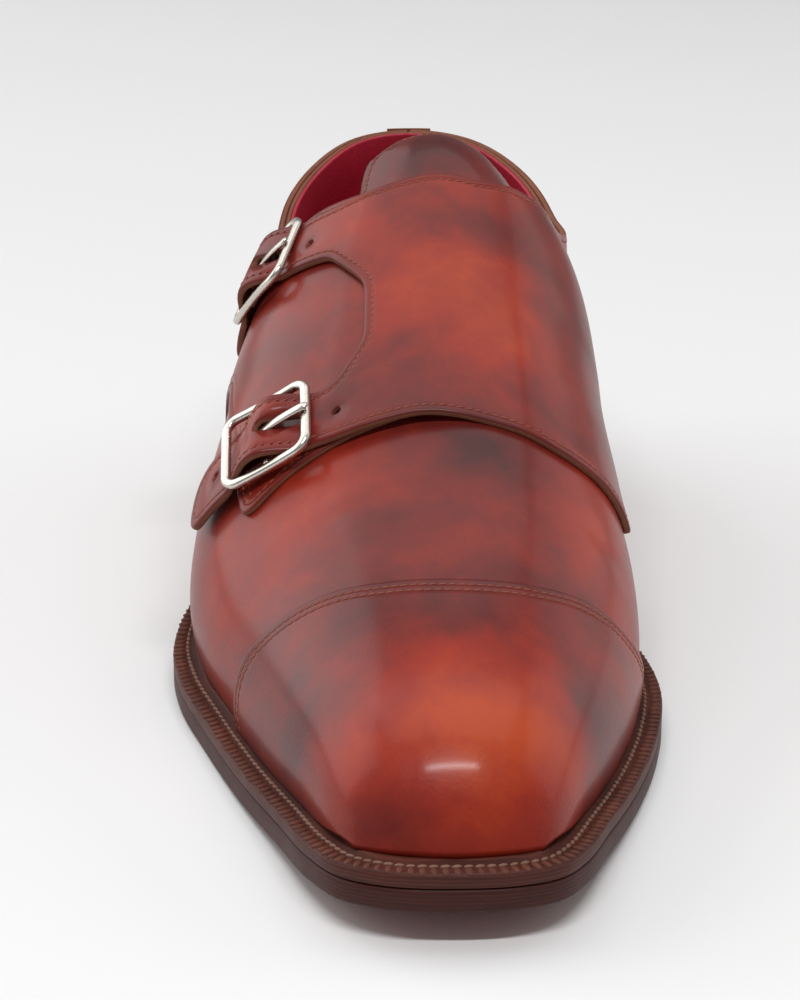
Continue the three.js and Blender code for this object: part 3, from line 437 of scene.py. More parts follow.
    def _raw(self, station: Array, girth: Array, closed: bool) -> Array:
        """Surface before its ridge is rounded, as (x, length, height).

        Args:
            station: Stations of the points.
            girth: Signed girths of the points.
            closed: Whether the opening is spanned.

        Returns:
            Points in the shoe's own directions.
        """
        at = self.row_of(station) / self.row_step
        i = np.clip(at.astype(int), 0, len(self.rows) - 2)
        f = at - i
        out = np.empty((len(station), 3))
        for side in Side:
            mask = (girth >= 0) if side is Side.INNER else (girth < 0)
            if not mask.any():
                continue
            table = self.tables[side, closed]
            j, h = i[mask], f[mask]
            total = table["total"][j] * (1 - h) + table["total"][j + 1] * h
            share = np.clip(np.abs(girth[mask]) / total, 0, 1) * self.share_steps
            k = np.clip(share.astype(int), 0, self.share_steps - 1)
            g = share - k
            inverse = table["share_t"]
            t = ((inverse[j, k] * (1 - g) + inverse[j, k + 1] * g) * (1 - h)
                 + (inverse[j + 1, k] * (1 - g) + inverse[j + 1, k + 1] * g) * h)
            controls = (table["controls"][j] * (1 - h)[:, None, None]
                        + table["controls"][j + 1] * h[:, None, None])
            out[mask] = self._bezier(controls, t[:, None])
        return out

    def placed(self, points: Array) -> Array:
        """Points given as (x, length, height), moved into the frame."""
        turned = np.column_stack([points[:, 0], self.length / 2 - points[:, 1], points[:, 2]])
        return turned + self.shift

    def normal(self, station: Array, girth: Array, closed: bool = False) -> Array:
        """Outward directions of the upper's surface.

        Args:
            station: Stations of the points.
            girth: Signed girths of the points.
            closed: Whether the opening is spanned.

        Returns:
            A unit direction for each.
        """
        step = 0.8
        row = self.row_of(station)
        edge = np.where(girth >= 0, self.total_at(row, Side.INNER), self.total_at(row, Side.OUTER))
        along = (self.point(station + step, girth, closed)
                 - self.point(station - step, girth, closed))
        around = (self.point(station, np.clip(girth + step, -edge, edge), closed)
                  - self.point(station, np.clip(girth - step, -edge, edge), closed))
        return unit(np.cross(along, around))

    def wrinkle(self, station: Array, girth: Array) -> Array:
        """Rise of the leather above the smooth surface where it creases.

        Args:
            station: Stations of the points.
            girth: Signed girths of the points.

        Returns:
            Rises, negative in a trough.
        """
        rise = np.zeros(len(station))
        for at_station, at_girth, reach, width, depth in self.creases:
            bow = at_station + 0.006 * (girth - at_girth) ** 2
            fade = bump(girth - at_girth, reach)
            rise += fade * depth * (0.45 * bump(station - bow - 1.7 * width, width)
                                    - bump(station - bow, width))
        return rise

    def lifted(self, station: Array, girth: Array, level: Array, closed: bool = False,
               flat: Array | None = None) -> Array:
        """Points at a level above the surface, following its creases.

        Args:
            station: Stations of the points.
            girth: Girths of the points.
            level: Height above the surface.
            closed: Whether the opening is spanned.
            flat: Mask of points that move level with the floor only.

        Returns:
            Points in the frame, in millimetres.
        """
        normals = self.normal(station, girth, closed)
        if flat is not None:
            normals[flat, 2] = 0.0
            normals = unit(normals)
        points = self.point(station, girth, closed)
        points = points + normals * (level + self.wrinkle(station, girth))[:, None]
        length = self.length / 2 - (points[:, 1] - self.shift[1])
        floor = self.under(length) + self.sole + 2 * self.gap + self.welt
        points[:, 2] = np.maximum(points[:, 2], floor)
        return points


# ---- shader graphs ----

class Value:
    """A socket that takes part in Python arithmetic by adding Math nodes."""

    def __init__(self, graph: "Graph", socket: bpy.types.NodeSocket) -> None:
        """Wrap a socket of a graph."""
        self.graph = graph
        self.socket = socket

    def _math(self, operation: str, left: Any, right: Any) -> "Value":
        """Math node of two operands."""
        node = self.graph.node("ShaderNodeMath", {"operation": operation}, {0: left, 1: right})
        return Value(self.graph, node.outputs[0])

    def __add__(self, other: Any) -> "Value":
        """Sum."""
        return self._math("ADD", self, other)

    def __radd__(self, other: Any) -> "Value":
        """Sum with a number on the left."""
        return self._math("ADD", other, self)

    def __sub__(self, other: Any) -> "Value":
        """Difference."""
        return self._math("SUBTRACT", self, other)

    def __rsub__(self, other: Any) -> "Value":
        """Difference from a number on the left."""
        return self._math("SUBTRACT", other, self)

    def __mul__(self, other: Any) -> "Value":
        """Product."""
        return self._math("MULTIPLY", self, other)

    def __pow__(self, other: Any) -> "Value":
        """Power."""
        return self._math("POWER", self, other)

    def held(self, low: float = 0.0, high: float = 1.0) -> "Value":
        """Value clamped between two numbers."""
        return self._math("MINIMUM", self._math("MAXIMUM", self, low), high)

    def sine(self) -> "Value":
        """Sine of the value."""
        return self._math("SINE", self, 0.0)


class NodeTree:
    """Node tree whose nodes come from one method."""

    tree: bpy.types.NodeTree

    def node(self, kind: str, settings: dict[str, Any] | None = None,
             values: dict[Any, Any] | None = None) -> bpy.types.Node:
        """Add a node.

        Args:
            kind: Node type.
            settings: Properties set first; "stops" fills a colour ramp.
            values: Numbers, colours or links of its input sockets.

        Returns:
            The new node.
        """
        node = self.tree.nodes.new(kind)
        for key, value in (settings or {}).items():
            if key != "stops":
                setattr(node, key, value)
                continue
            ramp = node.color_ramp
            while len(ramp.elements) < len(value):
                ramp.elements.new(0.5)
            for element, (position, colour) in zip(ramp.elements, value):
                element.position = position
                element.color = (*colour, 1.0)
        for key, value in (values or {}).items():
            if isinstance(value, Value):
                value = value.socket
            if isinstance(value, bpy.types.NodeSocket):
                self.tree.links.new(value, node.inputs[key])
            else:
                node.inputs[key].default_value = value
        return node


class Graph(NodeTree):
    """Material with a Principled shader."""

    def __init__(self, name: str) -> None:
        """Start an empty material with a Principled shader.

        Args:
            name: Name of the material.
        """
        self.material = bpy.data.materials.new(name)
        self.material.use_nodes = True
        self.tree = self.material.node_tree
        self.tree.nodes.clear()
        output = self.node("ShaderNodeOutputMaterial")
        self.shader = self.node("ShaderNodeBsdfPrincipled")
        self.tree.links.new(self.shader.outputs[0], output.inputs[0])
        self.place = self.node("ShaderNodeTexCoord").outputs["Object"]

    def noise(self, scale: float, detail: float = 3.0, rough: float = 0.55, twist: float = 0.0,
              stretch: tuple[float, float, float] = (1.0, 1.0, 1.0)) -> Value:
        """Noise over the object, as a value.

        Args:
            scale: Waves to a metre.
            detail: Finer waves on top.
            rough: Strength of the finer waves.
            twist: Distortion.
            stretch: Scale along each axis.

        Returns:
            The noise, about 0.5.
        """
        mapping = self.node("ShaderNodeMapping", {}, {"Vector": self.place, "Scale": stretch})
        node = self.node("ShaderNodeTexNoise", {}, {
            "Vector": mapping.outputs[0], "Scale": scale, "Detail": detail, "Roughness": rough,
            "Distortion": twist})
        return Value(self, node.outputs[0])

    def cells(self, scale: float) -> Value:
        """Distance to the nearest of scattered points."""
        node = self.node("ShaderNodeTexVoronoi", {}, {"Vector": self.place, "Scale": scale})
        return Value(self, node.outputs[0])

    def attribute(self, name: str) -> Value:
        """A number stored on the piece's points."""
        node = self.node("ShaderNodeAttribute", {"attribute_name": name})
        return Value(self, node.outputs["Fac"])

    def ramp(self, factor: Value, stops: Sequence[tuple[float, Colour]]) -> bpy.types.NodeSocket:
        """Colour read from a ramp."""
        return self.node("ShaderNodeValToRGB", {"stops": stops}, {0: factor}).outputs[0]

    def blend(self, factor: Any, first: Any, second: Any) -> bpy.types.NodeSocket:
        """Colour mixed from two.

        Args:
            factor: Share of the second.
            first: Colour or socket.
            second: Colour or socket.

        Returns:
            The mixed colour.
        """
        first = (*first, 1.0) if isinstance(first, tuple) else first
        second = (*second, 1.0) if isinstance(second, tuple) else second
        node = self.node("ShaderNodeMix", {"data_type": "RGBA"}, {0: factor, 6: first, 7: second})
        return node.outputs[2]

    def relief(self, height: Value, depth: float, strength: float = 1.0) -> None:
        """Bump of the shader's normal.

        Args:
            height: Height over the surface.
            depth: Depth in metres of a height of one.
            strength: Share of the effect.
        """
        node = self.node("ShaderNodeBump", {}, {
            "Height": height, "Distance": depth, "Strength": strength})
        self.tree.links.new(node.outputs[0], self.shader.inputs["Normal"])

    def finish(self, **values: Any) -> bpy.types.Material:
        """Set the shader's sockets, words joined by an underline, and return the material.

        Args:
            **values: Constants or links by socket name.

        Returns:
            The finished material.
        """
        for key, value in values.items():
            socket = self.shader.inputs[key.replace("_", " ")]
            if isinstance(value, Value):
                value = value.socket
            if isinstance(value, bpy.types.NodeSocket):
                self.tree.links.new(value, socket)
            else:
                socket.default_value = (*value, 1.0) if isinstance(value, tuple) else value
        return self.material


@dataclass(frozen=True)
class PatinaLeather:
    """Smooth calf, dyed by hand in clouds of red over brown and polished."""

    name: str = "patina_leather"
    dark: Colour = (0.062, 0.008, 0.008)
    brown: Colour = (0.17, 0.0145, 0.0095)
    red: Colour = (0.30, 0.022, 0.0085)
    glow: Colour = (0.44, 0.050, 0.008)
    shift: float = 0.0
    roughness: float = 0.42
    coat: float = 0.26

    def build(self) -> bpy.types.Material:
        """Make the material.

        Returns:
            The material.
        """
        g = Graph(self.name)
        cloud = g.noise(15.0, 2.0, 0.5, 0.25)
        smoke = g.noise(43.0, 4.0, 0.52, 0.3)
        brush = g.noise(170.0, 4.0, 0.6, 0.4)
        speck = g.noise(1400.0, 2.0, 0.6)
        depth = cloud * 0.4 + smoke * 0.45 + brush * 0.15
        tone = (depth - 0.5) * 2.0 + 0.42 + self.shift + g.attribute("tone") * 0.5
        tone = tone + (speck - 0.5) * 0.1
        colour = g.ramp(tone, ((0.0, self.dark), (0.33, self.brown), (0.62, self.red),
                               (0.98, self.glow)))
        rim = 1.0 - (g.attribute("edge") * 0.4).held()
        colour = g.blend(rim * 0.5, colour, self.dark)
        pores = g.cells(1350.0) * 0.5 + speck * 0.5
        g.relief(pores + brush * 1.2, 0.00009, 0.55)
        gloss = self.roughness + (brush - 0.5) * 0.16 + (smoke - 0.5) * 0.1
        return g.finish(Base_Color=colour, Roughness=gloss.held(0.12, 0.9), Coat_Weight=self.coat,
                        Coat_Roughness=0.17, Specular_IOR_Level=0.2)


@dataclass(frozen=True)
class LiningLeather:
    """Matt dyed lining leather."""

    name: str = "lining_leather"
    deep: Colour = (0.30, 0.007, 0.024)
    light: Colour = (0.52, 0.014, 0.045)

    def build(self) -> bpy.types.Material:
        """Make the material.

        Returns:
            The material.
        """
        g = Graph(self.name)
        cloud = g.noise(60.0, 4.0, 0.6, 0.4)
        grain = g.cells(900.0)
        colour = g.blend(cloud, self.deep, self.light)
        g.relief(grain + cloud, 0.00012, 0.5)
        return g.finish(Base_Color=colour, Roughness=0.48 + grain * 0.12)


@dataclass(frozen=True)
class RawEdge:
    """Cut edge of leather, stained but still showing its fibres."""

    name: str = "raw_edge"
    dark: Colour = (0.12, 0.035, 0.02)
    light: Colour = (0.30, 0.125, 0.072)

    def build(self) -> bpy.types.Material:
        """Make the material.

        Returns:
            The material.
        """
        g = Graph(self.name)
        fibre = g.noise(900.0, 4.0, 0.7, 0.5)
        patch = g.noise(90.0, 3.0)
        colour = g.blend((fibre * 0.6 + patch * 0.5 - 0.05).held(), self.dark, self.light)
        g.relief(fibre, 0.0002, 0.7)
        return g.finish(Base_Color=colour, Roughness=0.7 + fibre * 0.15, Specular_IOR_Level=0.2)


@dataclass(frozen=True)
class StackedEdge:
    """Burnished edge of stacked sole leather, with a line between its layers."""

    name: str = "stacked_edge"
    dark: Colour = (0.017, 0.006, 0.005)
    light: Colour = (0.11, 0.0205, 0.0125)
    ply: float = 0.8
    roughness: float = 0.42

    def build(self) -> bpy.types.Material:
        """Make the material.

        Returns:
            The material.
        """
        g = Graph(self.name)
        layer = g.attribute("layer")
        drift = g.noise(110.0, 4.0, 0.6)
        streak = g.noise(60.0, 5.0, 0.7, 0.3, (1.0, 1.0, 26.0))
        line = ((layer * (2 * math.pi / self.ply) + drift * 7.0).sine() * 0.5 + 0.5) ** 3.0
        colour = g.blend((line * 0.3 + streak * 0.75 - 0.12).held(), self.dark, self.light)
        g.relief(streak + line * 0.4, 0.00018, 0.5)
        return g.finish(Base_Color=colour, Roughness=self.roughness + drift * 0.2,
                        Specular_IOR_Level=0.22)


@dataclass(frozen=True)
class SoleLeather:
    """Dyed face of the sole, brushed along its length."""

    name: str = "sole_face"
    dark: Colour = (0.14, 0.018, 0.012)
    light: Colour = (0.27, 0.045, 0.026)

    def build(self) -> bpy.types.Material:
        """Make the material.

        Returns:
            The material.
        """
        g = Graph(self.name)
        brush = g.noise(210.0, 5.0, 0.65, 0.2, (1.0, 0.12, 1.0))
        cloud = g.noise(24.0, 3.0)
        colour = g.blend((brush * 0.5 + cloud * 0.7 - 0.1).held(), self.dark, self.light)
        g.relief(brush, 0.00015, 0.5)
        return g.finish(Base_Color=colour, Roughness=0.4 + brush * 0.18)


@dataclass(frozen=True)
class Thread:
    """Waxed linen thread."""

    name: str = "thread"
    dark: Colour = (0.14, 0.026, 0.014)
    light: Colour = (0.34, 0.095, 0.045)

    def build(self) -> bpy.types.Material:
        """Make the material.

        Returns:
            The material.
        """
        g = Graph(self.name)
        fibre = g.noise(1500.0, 3.0, 0.6)
        run = g.noise(70.0, 2.0)
        colour = g.blend((fibre * 0.6 + run * 0.5 - 0.05).held(), self.dark, self.light)
        g.relief(fibre, 0.0001, 0.6)
        return g.finish(Base_Color=colour, Roughness=0.5 + fibre * 0.2)


@dataclass(frozen=True)
class PolishedNickel:
    """Bright plating with faint rubbing marks."""

    name: str = "polished_nickel"
    colour: Colour = (0.70, 0.66, 0.60)
    dull: Colour = (0.50, 0.46, 0.40)

    def build(self) -> bpy.types.Material:
        """Make the material.

        Returns:
            The material.
        """
        g = Graph(self.name)
        rub = g.noise(420.0, 4.0, 0.7, 0.8)
        haze = g.noise(60.0, 3.0)
        colour = g.blend((haze * 0.9 - 0.15).held(), self.colour, self.dull)
        g.relief(rub, 0.00003, 0.4)
        return g.finish(Base_Color=colour, Roughness=0.2 + rub * 0.16, Metallic=1.0)


@dataclass(frozen=True)
class TopPieceRubber:
    """Rubber and leather of the heel's top piece."""

    name: str = "top_piece_rubber"
    colour: Colour = (0.020, 0.013, 0.011)
    pale: Colour = (0.055, 0.03, 0.024)

    def build(self) -> bpy.types.Material:
        """Make the material.

        Returns:
            The material.
        """
        g = Graph(self.name)
        dust = g.noise(300.0, 5.0, 0.7)
        colour = g.blend((dust * 1.2 - 0.3).held(), self.colour, self.pale)
        g.relief(dust, 0.0002, 0.6)
        return g.finish(Base_Color=colour, Roughness=0.5 + dust * 0.25)


# ---- meshes ----

def renumbered(face: Sequence[int], names: Array) -> tuple[int, ...]:
    """Face over renamed points, without repeats, or an empty one where no area is left.

    Args:
        face: Numbers of its points.
        names: New number of every point.

    Returns:
        The face.
    """
    ring = [int(names[i]) for i in face]
    ring = [v for k, v in enumerate(ring) if v != ring[k - 1]]
    return tuple(ring) if len(set(ring)) == len(ring) and len(ring) > 2 else ()


@dataclass
class Body:
    """Mesh in the making: points in millimetres, faces, and what is stored on them."""

    points: Array
    faces: Faces
    finish_of_face: list[int] | None = None
    stored: dict[str, Array] = field(default_factory=dict)

    def welded(self) -> "Body":
        """Points that lie together made one, and faces without area dropped.

        Returns:
            The cleaned body.
        """
        keys = np.round(self.points * 2000).astype(np.int64)
        _, first, back = np.unique(keys, axis=0, return_index=True, return_inverse=True)
        back = back.reshape(-1)
        faces, finishes = [], []
        for number, face in enumerate(self.faces):
            ring = renumbered(face, back)
            if ring:
                faces.append(ring)
                if self.finish_of_face is not None:
                    finishes.append(self.finish_of_face[number])
        numbered = finishes if self.finish_of_face is not None else None
        return Body(self.points[first], faces, numbered,
                    {name: values[first] for name, values in self.stored.items()})

    def outward(self) -> "Body":
        """The same body with its faces turned outward.

        Returns:
            The body itself.
        """
        volume = 0.0
        for face in self.faces:
            a = self.points[face[0]]
            for k in range(1, len(face) - 1):
                volume += float(np.dot(a, np.cross(self.points[face[k]], self.points[face[k + 1]])))
        if volume < 0:
            self.faces = [face[::-1] for face in self.faces]
        return self

    def joined(self, other: "Body") -> "Body":
        """Two bodies in one mesh.

        Args:
            other: Body to add.

        Returns:
            The joined body.
        """
        start = len(self.points)
        finishes = None
        if self.finish_of_face is not None and other.finish_of_face is not None:
            finishes = self.finish_of_face + other.finish_of_face
        blank = np.zeros(len(other.points))
        stored = {name: np.concatenate([values, other.stored.get(name, blank)])
                  for name, values in self.stored.items()}
        return Body(np.vstack([self.points, other.points]),
                    self.faces + [tuple(i + start for i in face) for face in other.faces],
                    finishes, stored)


@dataclass
class Workshop:
    """Finishes that are made once, and the way a body becomes a piece of the shoe."""

    finishes: dict[str, bpy.types.Material] = field(default_factory=dict)

    def material(self, finish: Any) -> bpy.types.Material:
        """The material of a finish, made on first use.

        Args:
            finish: A finish with a name and a build method.

        Returns:
            Its material.
        """
        if finish.name not in self.finishes:
            self.finishes[finish.name] = finish.build()
        return self.finishes[finish.name]

    def piece(self, name: str, body: Body, finishes: Sequence[Any], slot: str,
              stands_for: Sequence[str] = ()) -> bpy.types.Object:
        """Turn a body into a piece that rides on the shoe.

        Args:
            name: Name of the piece.
            body: Its mesh in millimetres.
            finishes: Its finishes, in the order the faces number them.
            slot: Material slot of the record.
            stands_for: CAD nodes that it replaces.

        Returns:
            The new object.
        """
        mesh = bpy.data.meshes.new(name)
        mesh.from_pydata((body.points * MM).tolist(), [], body.faces)
        for key, values in body.stored.items():
            layer = mesh.attributes.new(key, "FLOAT", "POINT")
            layer.data.foreach_set("value", np.asarray(values, np.float32))
        mesh.polygons.foreach_set("use_smooth", [True] * len(mesh.polygons))
        for finish in finishes:
            mesh.materials.append(self.material(finish))
        if body.finish_of_face is not None:
            mesh.polygons.foreach_set("material_index", body.finish_of_face)
        mesh.validate()
        mesh.update()
        return self.placed(name, mesh, slot, stands_for)

    @staticmethod
    def placed(name: str, mesh: bpy.types.Mesh, slot: str,
               stands_for: Sequence[str] = ()) -> bpy.types.Object:
        """Link a mesh as a piece, say what it rides on and log it.

        Args:
            name: Name of the piece.
            mesh: Its mesh in metres.
            slot: Material slot of the record; not used.
            stands_for: CAD nodes that it replaces.

        Returns:
            The new object.
        """
        piece = bpy.data.objects.new(name, mesh)
        bpy.context.scene.collection.objects.link(piece)
        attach(piece, "root")
        if stands_for:
            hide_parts(*stands_for)
        LOG.info("%s: %d faces", name, len(mesh.polygons))
        return piece


def grid_faces(rows: int, columns: int, start: int = 0, flip: bool = False) -> Faces:
    """Four-sided faces of a grid of points.

    Args:
        rows: Lines of points.
        columns: Points in a line.
        start: Number of the first point.
        flip: Whether the faces are turned over.

    Returns:
        The faces.
    """
    faces = []
    for i in range(rows - 1):
        for j in range(columns - 1):
            a = start + i * columns + j
            quad = (a, a + columns, a + columns + 1, a + 1)
            faces.append(quad[::-1] if flip else quad)
    return faces


def slab(top: Array, low: Array, faces: Faces, stored: dict[str, Array]) -> Body:
    """Closed body between two skins over one set of faces.

    Args:
        top: Points of the outer skin.
        low: Points of the inner skin.
        faces: Faces of the outer skin, seen from outside.
        stored: Numbers stored on the skin's points.

    Returns:
        The body; its walls and inner skin carry finish 1.
    """
    keys = np.round(top * 500).astype(np.int64)
    _, first, back = np.unique(keys, axis=0, return_index=True, return_inverse=True)
    names = first[back.reshape(-1)]
    rings = [ring for ring in (renumbered(face, names) for face in faces) if ring]
    borders = {}
    for ring in rings:
        for k, a in enumerate(ring):
            b = ring[(k + 1) % len(ring)]
            if (b, a) in borders:
                del borders[b, a]
            else:
                borders[a, b] = True
    count = len(top)
    walls = [(a, a + count, b + count, b) for a, b in borders]
    every = rings + [tuple(i + count for i in ring[::-1]) for ring in rings] + walls
    finish = [0] * len(rings) + [1] * (len(rings) + len(walls))
    doubled = {name: np.concatenate([values, values]) for name, values in stored.items()}
    return Body(np.vstack([top, low]), every, finish, doubled).welded().outward()


def ring_body(rings: Sequence[Array], capped: bool = True,
              stored: dict[str, Array] | None = None, strips: int | None = None) -> Body:
    """Body skinned over closed rings that each run out along one side and back along the other.

    Args:
        rings: Rings of as many points each.
        capped: Whether the first and last ring are closed by strips across; if not, the last
            ring joins the first.
        stored: Numbers stored on the points, ring after ring.
        strips: Number of strips across a cap, the rest of which is one face.

    Returns:
        The closed body.
    """
    count = len(rings[0])
    half = count // 2
    across = half - 1 if strips is None else strips
    faces = []
    levels = len(rings) if not capped else len(rings) - 1
    for k in range(levels):
        a, b = k * count, ((k + 1) % len(rings)) * count
        for i in range(count):
            j = (i + 1) % count
            faces.append((a + i, a + j, b + j, b + i))
    if capped:
        for start, flip in ((0, True), ((len(rings) - 1) * count, False)):
            for i in range(across):
                quad = (start + i, start + i + 1, start + count - 2 - i, start + count - 1 - i)
                faces.append(quad[::-1] if flip else quad)
            if strips is not None:
                rest = tuple(range(start + across, start + count - across))
                faces.append(rest[::-1] if flip else rest)
    return Body(np.vstack(rings), faces, None, stored or {}).welded().outward()


def inside_distance(polygon: Array, points: Array) -> Array:
    """Signed distance of points to a closed polygon, positive inside.

    Args:
        polygon: Corners of the polygon.
        points: Flat points.

    Returns:
        One distance for each.
    """
    a = polygon
    b = np.roll(polygon, -1, axis=0)
    d = b - a
    length = np.maximum((d ** 2).sum(axis=1), 1e-12)
    out = np.empty(len(points))
    for start in range(0, len(points), 2000):
        p = points[start:start + 2000, None, :]
        t = np.clip(((p - a) * d).sum(axis=2) / length, 0, 1)
        gap = np.linalg.norm(p - a - t[..., None] * d, axis=2).min(axis=1)
        crosses = (a[:, 1] > p[..., 1]) != (b[:, 1] > p[..., 1])
        rise = np.where(np.abs(d[:, 1]) < 1e-12, 1e-12, d[:, 1])
        left = p[..., 0] < d[:, 0] * (p[..., 1] - a[:, 1]) / rise + a[:, 0]
        inside = (crosses & left).sum(axis=1) % 2 == 1
        out[start:start + 2000] = np.where(inside, gap, -gap)
    return out


def line_normals(line: Array, closed: bool) -> Array:
    """Directions to the left of a line of flat points.

    Args:
        line: The line.
        closed: Whether it returns to its start.

    Returns:
        A unit direction for each point.
    """
    if closed:
        along = np.roll(line, -1, axis=0) - np.roll(line, 1, axis=0)
    else:
        along = np.gradient(line, axis=0)
    along = unit(along)
    return np.stack([-along[:, 1], along[:, 0]], axis=1)


def turning(loop: Array) -> float:
    """1 where a flat loop runs left about, -1 where it runs right about."""
    after = np.roll(loop, -1, axis=0)
    return float(np.sign(np.sum(loop[:, 0] * after[:, 1] - loop[:, 1] * after[:, 0])))


def rounded_outline(rows: Table) -> Array:
    """Closed polygon from rows (station, girth, corner radius) with its corners rounded.

    Args:
        rows: Corners in order.

    Returns:
        Points of the outline.
    """
    rows = [tuple(row) for row in rows]
    points = []
    for i, (x, y, radius) in enumerate(rows):
        here = np.array([x, y], float)
        if not radius:
            points.append(here)
            continue
        back = np.array(rows[i - 1][:2], float) - here
        ahead = np.array(rows[(i + 1) % len(rows)][:2], float) - here
        lengths = np.linalg.norm(back), np.linalg.norm(ahead)
        half = math.acos(np.clip(back @ ahead / lengths[0] / lengths[1], -1, 1)) / 2
        cut = min(radius / math.tan(half), lengths[0] * 0.46, lengths[1] * 0.46)
        start, end = here + back / lengths[0] * cut, here + ahead / lengths[1] * cut
        for t in np.linspace(0, 1, CORNER_POINTS):
            points.append((start * (1 - t) + here * t) * (1 - t) + (here * (1 - t) + end * t) * t)
    return np.array(points)


def rounding(distance: Array, radius: float) -> Array:
    """Share of an edge's rounding that is still missing at a distance from the edge."""
    t = np.clip(distance / radius, 0, 1)
    return 1.0 - np.sqrt(np.clip(1 - (1 - t) ** 2, 0, 1))


@dataclass
class Cut:
    """A piece of leather cut to an outline in the pattern plane, with holes punched in it."""

    outline: Array
    holes: list[Array] = field(default_factory=list)
    spacing: float = 2.2
    rings: tuple[float, ...] = (0.14, 0.32, 0.6, 1.0, 1.45, 1.75, 2.0, 2.25, 2.6, 3.2)

    def distance(self, points: Array) -> Array:
        """Distance to the nearest edge, positive in the leather.

        Args:
            points: Flat points.

        Returns:
            One distance for each.
        """
        least = inside_distance(self.outline, points)
        for hole in self.holes:
            least = np.minimum(least, -inside_distance(hole, points))
        return least

    def mesh(self) -> tuple[Array, Faces, Array]:
        """Triangulate the cut.

        Returns:
            Flat points, triangles and each point's distance to the edge.
        """
        border = resampled(self.outline, 1.0, True)
        turn = turning(border)
        loops = [(border, line_normals(border, True) * turn, self.rings)]
        for hole in self.holes:
            loops.append((hole, -line_normals(hole, True), (0.25, 0.6)))
        points, edges, extra = [], [], []
        for loop, normals, rings in loops:
            start = sum(len(p) for p in points)
            points.append(loop)
            count = len(loop)
            edges += [(start + i, start + (i + 1) % count) for i in range(count)]
            for width in rings:
                moved = loop + normals * width
                extra.append(moved[self.distance(moved) > 0.93 * width])
        low, high = border.min(axis=0), border.max(axis=0)
        xs = np.arange(low[0], high[0], self.spacing)
        ys = np.arange(low[1], high[1], self.spacing)
        field_points = np.stack(np.meshgrid(xs, ys, indexing="ij"), axis=-1).reshape(-1, 2)
        keep = self.distance(field_points) > self.rings[-1] + 0.4 * self.spacing
        extra.append(field_points[keep])
        flat = np.vstack(points + extra)
        solved = delaunay_2d_cdt([Vector(p) for p in flat.tolist()], edges, [], 0, 1e-5, False)
        places = np.array([tuple(p) for p in solved[0]])
        triangles = np.array(solved[2])
        middle = places[triangles].mean(axis=1)
        triangles = triangles[self.distance(middle) > 0]
        a, b, c = (places[triangles[:, k]] for k in range(3))
        area = (b[:, 0] - a[:, 0]) * (c[:, 1] - a[:, 1]) - (b[:, 1] - a[:, 1]) * (c[:, 0] - a[:, 0])
        triangles = np.where((area < 0)[:, None], triangles[:, ::-1], triangles)
        return places, [tuple(map(int, t)) for t in triangles], np.maximum(self.distance(places), 0)

    def path(self, distance: float, start: int = 0, stop: int | None = None) -> Array:
        """Line that keeps a distance from part of the outline.

        Args:
            distance: Distance inward from the edge.
            start: First corner of the part of the outline.
            stop: Corner after its last one.

        Returns:
            Flat points of the line.
        """
        turn = turning(self.outline)
        part = resampled(self.outline[start:stop], 0.5)
        moved = part + line_normals(part, False) * turn * distance
        moved = moved[self.distance(moved) > 0.96 * distance]
        return moved


# ---- what repeats along a line ----

